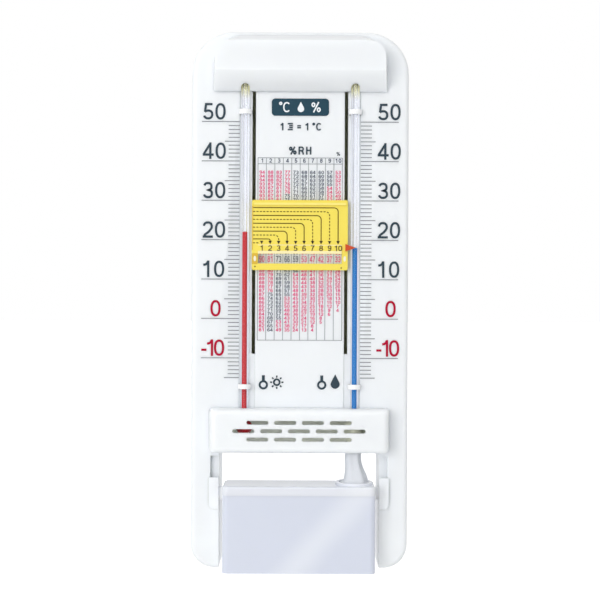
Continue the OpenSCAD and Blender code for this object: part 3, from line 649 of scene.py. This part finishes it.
# Collects flat shapes in X and Z and lays them on a face as a thin film
class Print:
    def __init__(self):
        self.points = []
        self.faces = []
        self.strokes = 0

    def add(self, points, faces, x=0.0, z=0.0, scale=1.0):
        first = len(self.points)
        self.strokes += 1
        lift = self.strokes % 4 * 0.004  # crossing strokes lie on each other, not in each other
        self.points += [(x + scale * p[0], z + scale * p[1], lift) for p in points]
        self.faces += [tuple(first + index for index in face) for face in faces]

    def path(self, path, width):
        self.add(*ribbon(path, width))

    def patch(self, outline):
        self.add(outline, [tuple(range(len(outline)))])

    def strip(self, left, right, low, high):
        self.patch([(left, low), (right, low), (right, high), (left, high)])

    def word(self, text, middle, foot, height, steps, gap=0.11, weight=stroke):
        shapes = [glyphStrokes(sign, steps) for sign in text]
        wide = sum(shape[0] for shape in shapes) + gap * (len(shapes) - 1)
        pen = middle - wide * height / 2
        for width, strokes in shapes:
            for path in strokes:
                self.add(*ribbon(path, weight), x=pen, z=foot, scale=height)
            pen += (width + gap) * height

    # The film has walls down to the surface
    def lay(self, name, surface, film, finish, body, slot):
        form = bmesh.new()
        corners = [
            form.verts.new((x * mm, (surface - film - lift) * mm, z * mm)) for x, z, lift in self.points
        ]
        for face in self.faces:
            form.faces.new([corners[index] for index in face])
        bmesh.ops.remove_doubles(form, verts=form.verts, dist=0.0000005)
        turnToFront(form)
        rim = [e for e in form.edges if len(e.link_faces) == 1]
        skirt = bmesh.ops.extrude_edge_only(form, edges=rim)["geom"]
        for vert in (g for g in skirt if isinstance(g, bmesh.types.BMVert)):
            vert.co.y += film * mm
        return newPiece(formMesh(name, form), finish, body)


lineLow, lineHigh = span("wet_scale")
scale = {
    "lowest": -15, "highest": 50, "face": lineHigh.y, "film": 0.1, "line": 0.36, "endLine": 0.35,
    "inner": lineLow.x, "tens": lineHigh.x, "ones": 32.0, "fives": 33.7,
    "numeral": 7.4, "above": 0.85, "steps": 32, "numeralFilm": 0.08, "middles": (-38.4, 39.8),
    "gap": 0.11, "gaps": {10: 0.27, -10: 0.04}, "zeroNudge": 0.85, "coldNudge": -0.3,
}
scale["degree"] = (lineHigh.z - lineLow.z - scale["endLine"]) / (scale["highest"] - scale["lowest"])
scale["zero"] = (lineLow.z + lineHigh.z) / 2 - (scale["lowest"] + scale["highest"]) / 2 * scale["degree"]
warm, cold = Print(), Print()
for degree in range(-10, 51, 10):
    for middle in scale["middles"]:
        nudge = scale["zeroNudge"] if degree == 0 else scale["coldNudge"] if degree < 0 else 0
        foot = scale["zero"] + degree * scale["degree"] + scale["above"]
        (cold if degree <= 0 else warm).word(str(degree), middle + nudge, foot, scale["numeral"],
                                             scale["steps"], scale["gaps"].get(degree, scale["gap"]))
warm.lay("warmNumerals", scale["face"], scale["numeralFilm"], "slateInk", "case", "scale_ink")
cold.lay("coldNumerals", scale["face"], scale["numeralFilm"], "crimsonInk", "case", "scale_ink")
print("numerals done")


# A Geometry Nodes tree with named inputs, given by their kind
def growTree(name, **inputs):
    tree = bpy.data.node_groups.new(name, "GeometryNodeTree")
    graph = Graph(tree)
    tree.interface.new_socket("Geometry", in_out="OUTPUT", socket_type="NodeSocketGeometry")
    for kind, names in inputs.items():
        for key in names.split():
            tree.interface.new_socket(key, in_out="INPUT", socket_type=f"NodeSocket{kind}")
    graph.given = graph.node("NodeGroupInput")
    return graph


# Ends a tree in Realize Instances and Set Material
def grown(graph, geometry):
    real = graph.node("GeometryNodeRealizeInstances", {0: geometry})
    inked = graph.node("GeometryNodeSetMaterial", {"Geometry": real, "Material": graph.given.out("Finish")})
    graph.node("NodeGroupOutput", {0: inked})
    return graph.tree


def grow(name, tree, values, body, stands=(), mesh=None):
    piece = bpy.data.objects.new(name, mesh or bpy.data.meshes.new(name))
    scene.collection.objects.link(piece)
    growth = piece.modifiers.new("growth", "NODES")
    growth.node_group = tree
    for item in tree.interface.items_tree:
        if item.in_out == "INPUT" and item.name in values:
            growth[item.identifier] = values[item.name]
    plainMesh(piece)
    return settle(piece, body, stands)


# The degree lines: one bar at each degree, longer at the fives and the tens
lines = growTree("degreeLines", Int="Lowest Count", Material="Finish",
                 Float="Pitch Foot Inner Ones Fives Tens Line Film Face Side")
given = lines.given.out
rungs = lines.node("GeometryNodeMeshLine", {
    "Count": given("Count"), "Start Location": lines.vector(Z=given("Foot")),
    "Offset": lines.vector(Z=given("Pitch"))})
degreeAt = lines.node("GeometryNodeInputIndex") + given("Lowest") + 100.0  # never below zero
isTen = degreeAt.modulo(10.0).under(0.5)
isFive = degreeAt.modulo(5.0).under(0.5)
onesEnd = given("Ones") + isFive * (given("Fives") - given("Ones"))
long = onesEnd + isTen * (given("Tens") - given("Fives")) - given("Inner")
shifted = lines.node("GeometryNodeSetPosition", {"Geometry": rungs, "Offset": lines.vector(
    X=(given("Inner") + long * 0.5) * given("Side"), Y=given("Face") - given("Film") * 0.5)})
bars = lines.node("GeometryNodeInstanceOnPoints", {
    "Points": shifted, "Instance": lines.node("GeometryNodeMeshCube", {"Size": (1, 1, 1)}),
    "Scale": lines.vector(X=long, Y=given("Film"), Z=given("Line"))})
linesTree = grown(lines, bars)
measures = {
    "Pitch": scale["degree"], "Foot": scale["zero"] + scale["lowest"] * scale["degree"],
    "Inner": scale["inner"], "Ones": scale["ones"], "Fives": scale["fives"], "Tens": scale["tens"],
    "Line": scale["line"], "Film": scale["film"], "Face": scale["face"],
}
for side, sign in (("dry", -1.0), ("wet", 1.0)):
    grow(f"{side}DegreeLines", linesTree, {
        **{key: measure * mm for key, measure in measures.items()}, "Lowest": scale["lowest"],
        "Count": scale["highest"] - scale["lowest"] + 1, "Side": sign, "Finish": finishes["lineInk"]},
        "case", (f"{side}_scale",))
print("degree lines done")

# The humidity table: each figure is worked out from the two temperatures
gridLow, gridHigh = span("humidity_table")
lensLow, lensHigh = span("magnifier_lens")
tipLow, tipHigh = span("slider_pointer")
table = {
    "columns": 10, "grid": 0.24, "header": 2.7, "figure": 1.46, "wide": 1.22, "spacing": 0.88,
    "headFigure": 1.85, "headSpacing": 0.86, "highestWet": 40, "film": 0.06, "least": 3, "cooling": 0.81,
    "greyFrom": 55, "greyTo": 75, "steps": 10, "weight": 0.17, "bandSteps": 16, "bandWeight": 0.15,
}
table["column"] = (gridHigh.x - gridLow.x - table["grid"]) / table["columns"]
# The lens shows the row below the pointer
table["readLow"] = (tipLow.z + tipHigh.z - lensLow.z - lensHigh.z) / 2
columns = range(1, table["columns"] + 1)


# The pressure of saturated vapour over water in hPa, by the Magnus formula
def vapour(degrees):
    return 6.112 * math.exp(17.62 * degrees / (243.12 + degrees))


def humidity(wet, difference):
    return 100 * (vapour(wet) - table["cooling"] * difference) / vapour(wet + difference)


def columnMiddle(k):
    return (k - 0.5 - table["columns"] / 2) * table["column"]


# One flat mesh for each figure, which the tree sets on points by its number
def figureSet(name, steps, weight):
    found = bpy.data.collections.new(name)
    for number in range(10):
        flat = Print()
        wide, strokes = glyphStrokes(str(number), steps)
        for path in strokes:
            flat.add(*ribbon(path, weight), x=-wide / 2, z=-0.5)
        mesh = bpy.data.meshes.new(f"{name}{number}")
        mesh.from_pydata([(x, -lift, z) for x, z, lift in flat.points], [], flat.faces)
        facing = bmesh.new()
        facing.from_mesh(mesh)
        turnToFront(facing)
        facing.to_mesh(mesh)
        facing.free()
        found.objects.link(bpy.data.objects.new(f"{name}{number}", mesh))
    return found


tableFigures = figureSet("figure", table["steps"], table["weight"])
bandFigures = figureSet("bandFigure", table["bandSteps"], table["bandWeight"])

setting = growTree("setFigures", Geometry="Points", Collection="Figures", Float="Wide", Material="Finish")
setting.tree.interface.move(setting.tree.interface.items_tree["Points"], 0)
given = setting.given.out
kinds = setting.node("GeometryNodeCollectionInfo", {
    "Collection": given("Figures"), "Separate Children": True, "Reset Children": True})
number = setting.node("GeometryNodeInputNamedAttribute", {"Name": "number"}, data_type="INT")
size = setting.node("GeometryNodeInputNamedAttribute", {"Name": "size"}, data_type="FLOAT")
placed = setting.node("GeometryNodeInstanceOnPoints", {
    "Points": setting.node("GeometryNodeMeshToPoints", {"Mesh": given("Points")}), "Instance": kinds,
    "Pick Instance": True, "Instance Index": number,
    "Scale": setting.vector(X=size * given("Wide"), Y=size, Z=size)})
figuresTree = grown(setting, placed)


# Marks are (x, y, z, number, height) in mm
def setFigures(name, marks, finish, body, wide=1.0, figures=tableFigures):
    mesh = bpy.data.meshes.new(name)
    mesh.from_pydata([(x * mm, y * mm, z * mm) for x, y, z, _, _ in marks], [], [])
    mesh.attributes.new("number", "INT", "POINT").data.foreach_set("value", [m[3] for m in marks])
    mesh.attributes.new("size", "FLOAT", "POINT").data.foreach_set("value", [m[4] * mm for m in marks])
    values = {"Figures": figures, "Wide": wide, "Finish": finishes[finish]}
    grow(name, figuresTree, values, body, mesh=mesh)


def figureMarks(value, x, y, z, height, spacing):
    text = str(value)
    return [
        (x + (k - (len(text) - 1) / 2) * spacing * height, y, z, int(sign), height)
        for k, sign in enumerate(text)
    ]


greyMarks, redMarks, headMarks = [], [], []
surface = scale["face"] - table["film"]
for wet in range(table["highestWet"] + 1):
    rowZ = scale["zero"] + wet * scale["degree"] - table["readLow"]
    for k in columns:
        value = round(humidity(wet, k))
        if value < table["least"]:
            continue
        grey = table["greyFrom"] <= value <= table["greyTo"]
        (greyMarks if grey else redMarks).extend(
            figureMarks(value, columnMiddle(k), surface, rowZ, table["figure"], table["spacing"]))
for k in columns:
    headMarks += figureMarks(k, columnMiddle(k), surface, gridHigh.z - table["header"] / 2,
                             table["headFigure"], table["headSpacing"])
setFigures("greyFigures", greyMarks, "smallGrey", "case", table["wide"])
setFigures("redFigures", redMarks, "smallRed", "case", table["wide"])
setFigures("headFigures", headMarks, "smallGrey", "case")
print("table done:", len(greyMarks) + len(redMarks), "figures")

# Marks on the case: no words, only units and plain signs
badgeLow, badgeHigh = span("badge")
badgeZ = (badgeLow.z + badgeHigh.z) / 2
signs = {
    "film": 0.05, "badgeHeight": 4.6, "badgeAcross": 7.0, "badgeDrop": (0.2, badgeZ - 0.75, 1.45),
    "line": (0.3, -24.2, 3.3, 24, 0.2, 0.19),  # middle, foot, height, steps, gap and weight of a word
    "title": (0.0, -35.0, 3.5, 20, 0.3, 0.2),
    "percent": (17.0, -35.5, 1.7, 14, 0.1, 0.16),
    "bulbFoot": -136.8, "bulbSize": 1.3, "bulbAcross": 13.05, "apart": 3.0, "rays": 8,
}


# A drop with its point up; z is the middle of its round part
def drop(x, z, radius):
    return oval(x, z, radius, radius, 150, 390) + [(x, z + 2.2 * radius)]


# A thermometer bulb, and a sun for the dry one or a drop for the wet one
def bulbSign(sheet, sign):
    z, big = signs["bulbFoot"], signs["bulbSize"]
    tubeX = sign * signs["bulbAcross"] - signs["apart"]
    nextX = sign * signs["bulbAcross"] + signs["apart"]
    sheet.path([(tubeX, z), (tubeX, z + 2.4 * big)], 1.0 * big)
    sheet.path(oval(tubeX, z - 0.9 * big, 1.25 * big, 1.25 * big), 0.7 * big)
    if sign > 0:
        sheet.patch(drop(nextX, z - 0.6 * big, 1.55 * big))
        return
    sheet.path(oval(nextX, z, 1.0 * big, 1.0 * big), 0.62 * big)
    for ray in range(signs["rays"]):
        turn = math.tau * ray / signs["rays"]
        way = Vector((math.cos(turn), math.sin(turn)))
        sheet.path([Vector((nextX, z)) + way * 1.6 * big, Vector((nextX, z)) + way * 2.3 * big], 0.5 * big)


onBadge, onCase = Print(), Print()
signFoot = badgeZ - signs["badgeHeight"] / 2
onBadge.word("oC", -signs["badgeAcross"], signFoot, signs["badgeHeight"], 24, 0.08)
onBadge.patch(drop(*signs["badgeDrop"]))
onBadge.word("%", signs["badgeAcross"], signFoot, signs["badgeHeight"], 20)
onBadge.lay("badgeSigns", badgeLow.y, signs["film"], "whiteInk", "case", "badge_ink")
for text, place in (("1 | = 1 oC", "line"), ("%RH", "title"), ("%", "percent")):
    onCase.word(text, *signs[place])
for sign in (-1, 1):
    bulbSign(onCase, sign)
onCase.lay("caseSigns", scale["face"], signs["film"], "slateInk", "case", "scale_ink")
for node, finish in (("humidity_table", "tableInk"), ("badge", "badgeInk")):
    nodes[node].data.materials.clear()
    nodes[node].data.materials.append(finishes[finish])
print("signs done")

# The reader's print: a line from the left edge down to each column
plateLow, plateHigh = span("slider_plate")
lip = plateLow.y
lensHead = lensHigh.z
reader = {
    "left": plateLow.x + 0.5, "face": lip + 0.8, "film": 0.05, "line": 0.4, "firstLine": lensHead + 4.82,
    "lineStep": 1.739, "bend": 1.8, "bendSteps": 8, "arrowTop": lensHead + 5.77,
    "arrowTip": lensHead + 4.22, "arrowHalf": 0.78, "overlap": 0.2, "firstShort": 0.9, "dash": 0.9,
    "gap": 0.59,
    "band": lip + 0.3, "bandHigh": 4.1, "bandFigure": 2.45, "bandMiddle": lensHead + 2.5, "bandSpacing": 0.78,
    "bandWide": 1.1, "light": 0.02, "seam": 0.04, "ridgeHigh": 0.38, "slopeHigh": 1.3,
    "lipIn": 0.9, "lipBelow": 2.15, "lipHigh": 0.8,
    "tabs": (19.95, 0.62, 1.2), "tabFilm": 0.06,  # across, half width, half height
    "frameWide": 2.5, "frameIn": 0.1, "frameBelow": 0.3, "frameAbove": 0.2,
    "sideWide": 0.5, "sideFoot": 1.7, "sideHead": 2.6, "dot": 0.32,
}


# From the left edge to x, round a bend and down to foot
def turnedLine(x, z, foot):
    bend = min(reader["bend"], (z - foot) * 0.8, (x - reader["left"]) * 0.5)
    turned = oval(x - bend, z - bend, bend, bend, 90, 0, reader["bendSteps"])
    return [(reader["left"], z), *turned, (x, foot)]


# Cuts a path into dashes
def dashes(path, dash, gap):
    ways = [Vector(p) for p in path]
    found, piece, left, inked = [], [ways[0]], dash, True
    for here, end in zip(ways, ways[1:]):
        while (end - here).length > left:
            here = here + (end - here).normalized() * left
            if inked:
                found.append(piece + [here])
            inked = not inked
            piece = [here]
            left = dash if inked else gap
        left -= (end - here).length
        if (end - piece[-1]).length > 0.01:
            piece.append(end)
    return found


onReader, arrows = Print(), Print()
bandMarks = []
for k in columns:
    x, z = columnMiddle(k), reader["firstLine"] + (k - 1) * reader["lineStep"]
    path = turnedLine(x, z, reader["arrowTop"] - reader["overlap"])
    if k == 1:
        path = [(reader["left"], z), (x - reader["firstShort"], z)]
    for part in ([path] if k % 2 == 0 else dashes(path, reader["dash"], reader["gap"])):
        onReader.path(part, reader["line"])
    arrows.patch([(x - reader["arrowHalf"], reader["arrowTop"]), (x, reader["arrowTip"]),
                  (x + reader["arrowHalf"], reader["arrowTop"])])
    bandMarks += figureMarks(k, x, reader["band"] - reader["film"], reader["bandMiddle"],
                             reader["bandFigure"], reader["bandSpacing"])
onReader.lay("readerLines", reader["face"], reader["film"], "sliderInk", "reader", "slider_yellow")
arrows.lay("readerArrows", reader["face"], reader["film"], "arrowInk", "reader", "slider_yellow")
setFigures("readerFigures", bandMarks, "bandInk", "reader", reader["bandWide"], bandFigures)

# Painted highlights on the raised band and the lip, the lens's end tabs, painted shade on the left frame and
# edge, and two sink marks
ridgeHighlights, lipLight, tabs, shade, dots = Print(), Print(), Print(), Print(), Print()
lensMiddle = (lensLow.z + lensHead) / 2
bandTop = lensHead + reader["bandHigh"]
lipTop = plateHigh.z - reader["lipBelow"]
ridgeHighlights.strip(-lensHigh.x, lensHigh.x, bandTop - reader["ridgeHigh"], bandTop - reader["seam"])
ridgeHighlights.strip(-lensHigh.x, lensHigh.x, lensHead + reader["seam"], lensHead + reader["slopeHigh"])
ridgeHighlights.lay("readerRidge", reader["band"], reader["light"], "paleBand", "reader", "slider_yellow")
lipLight.strip(plateLow.x + reader["lipIn"], plateHigh.x - reader["lipIn"], lipTop,
               lipTop + reader["lipHigh"])
lipLight.lay("readerLip", lip, reader["light"], "paleLip", "reader", "slider_yellow")
for sign in (-1, 1):
    across, halfWide, halfHigh = reader["tabs"]
    tabs.patch(oval(sign * across, lensMiddle, halfWide, halfHigh, steps=20)[:-1])
tabs.lay("readerTabs", reader["face"] - reader["light"], reader["tabFilm"], "tabPlastic", "reader",
         "lens_clear")
left = plateLow.x + reader["frameIn"]
shade.strip(left, plateLow.x + reader["frameWide"], lensLow.z - reader["frameBelow"],
            lensHead + reader["frameAbove"])
shade.strip(left, plateLow.x + reader["sideWide"], lensHead + reader["sideFoot"],
            plateHigh.z - reader["sideHead"])
shade.lay("readerFrame", reader["face"], reader["light"], "sideAmber", "reader", "slider_yellow")
for x, z in ((plateLow.x + 1.4, plateLow.z + 1.5), (plateHigh.x - 2.9, plateLow.z + 1.0)):
    dots.patch(oval(x, z, reader["dot"], reader["dot"], steps=14)[:-1])
dots.lay("readerDots", reader["face"], reader["light"], "sliderInk", "reader", "slider_yellow")
print("reader's print done")

# The wick: a gauze sleeve that opens towards its foot, as one sheet with an inner and an outer face; in mm
wickLow, wickHigh = span("wick")
bulbZ, guardZ, collarZ = thermometer["bulbZ"], span("bulb_guard")[0].z, span("tank_lid")[1].z
wick = {
    # Down to a height, the radius goes from one to another, from a start over a length, evenly or late
    "radii": (
        (bulbZ + 1, 2.5, 4.2, bulbZ + 4.05, 2.85, 1),
        (guardZ - 1, 4.2, 3.45, bulbZ + 1, 11, 1),
        (collarZ + 0.5, 3.45, 5.3, guardZ - 1, guardZ - 1 - collarZ, 0.15),
        (collarZ - 0.3, 5.3, 6.3, collarZ + 0.5, 0.8, 1),
        (wickLow.z - 1, 6.3, 5.2, collarZ - 0.3, 12, 1),
    ),
    # It leans to the right by an amount, from a start over a length
    "leans": ((-0.45, guardZ + 5, 6), (1.15, guardZ - 3, 9), (-0.7, collarZ + 0.5, 0.8)),
    "ripples": ((0.03, 31, 0.4), (0.02, 3, 2.3)),  # height, times round, waver along
    "loosens": (bulbZ - 5, 12), "folds": 5, "foldHeight": 0.34, "gauze": 0.4, "around": 168, "rows": 150,
    "flat": (0.0300, 0.0560),
}


# How far down a change has come at height z, from 0 to 1
def come(z, start, length, evenness=1):
    t = (start - z) / length
    t = min(1.0, max(0.0, evenness * t + (1 - evenness) * t * t))
    return t * t * (3 - 2 * t)


def wickRadius(z):
    for downTo, before, after, start, length, evenness in wick["radii"]:
        if z > downTo:
            return before + (after - before) * come(z, start, length, evenness)


def wickPoint(turn, z, inset):
    loose = come(z, *wick["loosens"])
    wander = 0.5 * math.sin(z * 0.16) * loose
    fold = math.sin(wick["folds"] * turn + wander + 0.7)
    fold += 0.3 * math.sin((wick["folds"] * 2 - 3) * turn - 1.3 + z * 0.09)
    radius = wickRadius(z) - inset + wick["foldHeight"] * loose * fold
    radius += sum(high * math.sin(times * turn + z * waver) for high, times, waver in wick["ripples"])
    shift = sum(amount * come(z, start, length) for amount, start, length in wick["leans"])
    return around((thermometer["across"] + shift, thermometer["depth"]), radius, turn, z)


rows, sides = wick["rows"], wick["around"]
points = [
    wickPoint(math.tau * step / sides, wickLow.z + (wickHigh.z - wickLow.z) * row / rows, inset)
    for inset in (0.0, wick["gauze"]) for row in range(rows + 1) for step in range(sides)
]
faces = []
inner, last = (rows + 1) * sides, rows * sides
for row in range(rows):
    for a, b, c, d in ringFaces(row * sides, (row + 1) * sides, sides):
        faces += [(a, b, c, d), (inner + a, inner + d, inner + c, inner + b)]
faces += [(a, d, c, b) for a, b, c, d in ringFaces(0, inner, sides)] + ringFaces(last, inner + last, sides)
sleeve = meshObject("wickSleeve", points, faces, "wickGauze", "case", ("wick",))
smooth(sleeve)
weave = sleeve.data.uv_layers.new(name="weave").data
for face in sleeve.data.polygons:
    used = [index % sides for index in face.vertices]
    seam = max(used) - min(used) > 1
    for loop, index, column in zip(face.loop_indices, face.vertices, used):
        column = sides if seam and column == 0 else column
        weave[loop].uv = (column / sides, (index % inner) // sides / rows)

# The thread goes three times round the neck
tieLow, tieHigh = span("wick_tie")
tie = {
    "turns": 3, "radius": 2.95, "thread": 0.3, "pitch": 0.5, "middle": (tieLow.z + tieHigh.z) / 2,
    "steps": 40, "around": 10,
}


# A round thread along a path in mm, closed at its ends
def threadTube(path, radius, sides):
    ways = [Vector(p) for p in path]
    points, faces = [], []
    for k, here in enumerate(ways):
        ahead = (ways[min(k + 1, len(ways) - 1)] - ways[max(k - 1, 0)]).normalized()
        side = ahead.cross(Vector((0, 0, 1))).normalized()
        over = side.cross(ahead).normalized()
        for step in range(sides):
            turn = math.tau * step / sides
            points.append((here + (side * math.cos(turn) + over * math.sin(turn)) * radius) * mm)
    last = (len(ways) - 1) * sides
    for k in range(0, last, sides):
        faces += ringFaces(k, k + sides, sides)
    faces += [tuple(reversed(range(sides))), tuple(last + step for step in range(sides))]
    return points, faces


path = []
wound = tie["turns"] * tie["steps"]
for k in range(wound + 1):
    turn = math.tau * k / tie["steps"] - math.pi / 2
    lift = (k / tie["steps"] - tie["turns"] / 2) * tie["pitch"]
    path.append((thermometer["across"] + tie["radius"] * math.cos(turn),
                 thermometer["depth"] + tie["radius"] * math.sin(turn), tie["middle"] + lift))
points, faces = threadTube(path, tie["thread"], tie["around"])
thread = meshObject("wickTie", points, faces, "tieThread", "case", ("wick_tie",))
turnOutwards(thread)
smooth(thread, sidesOnly=True)
weave = thread.data.uv_layers.new(name="weave").data
for face in thread.data.polygons:
    for loop, index in zip(face.loop_indices, face.vertices):
        weave[loop].uv = (index % tie["around"] / tie["around"], index // tie["around"] / wound)
print("wick done")

# The lens, with a fine curve of its own
lens = {
    "half": lensHigh.x, "middle": lensMiddle, "high": lensHigh.z - lensLow.z, "front": lensLow.y,
    "back": lensHigh.y, "radius": 3.5, "steps": 24, "sharp": 30,
}
reach = math.degrees(math.asin(lens["high"] / 2 / lens["radius"]))
outline = oval(lens["front"] + lens["radius"], lens["middle"], -lens["radius"], lens["radius"],
               -reach, reach, lens["steps"])
outline += [(lens["back"], lens["middle"] + side * lens["high"] / 2) for side in (1, -1)]
count = len(outline)
points = [(x * mm, y * mm, z * mm) for x in (-lens["half"], lens["half"]) for y, z in outline]
faces = [(k, (k + 1) % count, count + (k + 1) % count, count + k) for k in range(count)]
faces += [tuple(reversed(range(count))), tuple(range(count, 2 * count))]
bar = meshObject("readerLens", points, faces, "lensPlastic", "reader", ("magnifier_lens",))
turnOutwards(bar)
smooth(bar, sidesOnly=True)
bar.data.set_sharp_from_angle(angle=math.radians(lens["sharp"]))
print("lens done")

# Light and floor; a lamp is its place, width and power
studio = {
    "sky": 0.63, "floor": -0.32, "floorReach": 12.0, "floorGlow": 0.6, "floorSides": 96,
    "aim": (0.0, -0.02, -0.1), "paper": ((0.86, 0.865, 0.87, 1), (0.84, 0.845, 0.85, 1)),
    "key": ((-0.95, -1.72, 0.2), 0.9, 14.0),
    "fill": ((1.1, -1.3, -0.3), 1.6, 0.4),
    "over": ((-0.2, -0.9, 1.3), 1.4, 4.0),
}
world = bpy.data.worlds.new("studio")
scene.world = world
world.use_nodes = True
sky = Graph(world.node_tree)
glow = sky.node("ShaderNodeBackground", {
    "Color": (1, 1, 1, 1), "Strength": studio["sky"] + sky.seen() * (1.0 - studio["sky"])})
sky.node("ShaderNodeOutputWorld", {"Surface": glow})

ringed = bmesh.new()
bmesh.ops.create_circle(ringed, cap_ends=True, radius=studio["floorReach"], segments=studio["floorSides"])
floor = formMesh("floor", ringed)
floorObject = bpy.data.objects.new("floor", floor)
floorObject.location.z = studio["floor"]
scene.collection.objects.link(floorObject)
ground = Finish("floorPaper")
paper = ground.shine(colour=ground.tint(ground.noise(25, 2), *studio["paper"]), rough=0.8)
lit = ground.node("ShaderNodeEmission", {
    "Color": (1, 1, 1, 1), "Strength": ground.seen() * studio["floorGlow"]})
floor.materials.append(ground.done(ground.node("ShaderNodeAddShader", {0: paper, 1: lit})))

for name in ("key", "fill", "over"):
    place, wide, power = studio[name]
    lamp = bpy.data.lights.new(name, "AREA")
    lamp.size = wide
    lamp.energy = power
    lampObject = bpy.data.objects.new(name, lamp)
    lampObject.location = place
    toObject = Vector(studio["aim"]) - Vector(place)
    lampObject.rotation_euler = toObject.to_track_quat("-Z", "Y").to_euler()
    scene.collection.objects.link(lampObject)
print("light done")
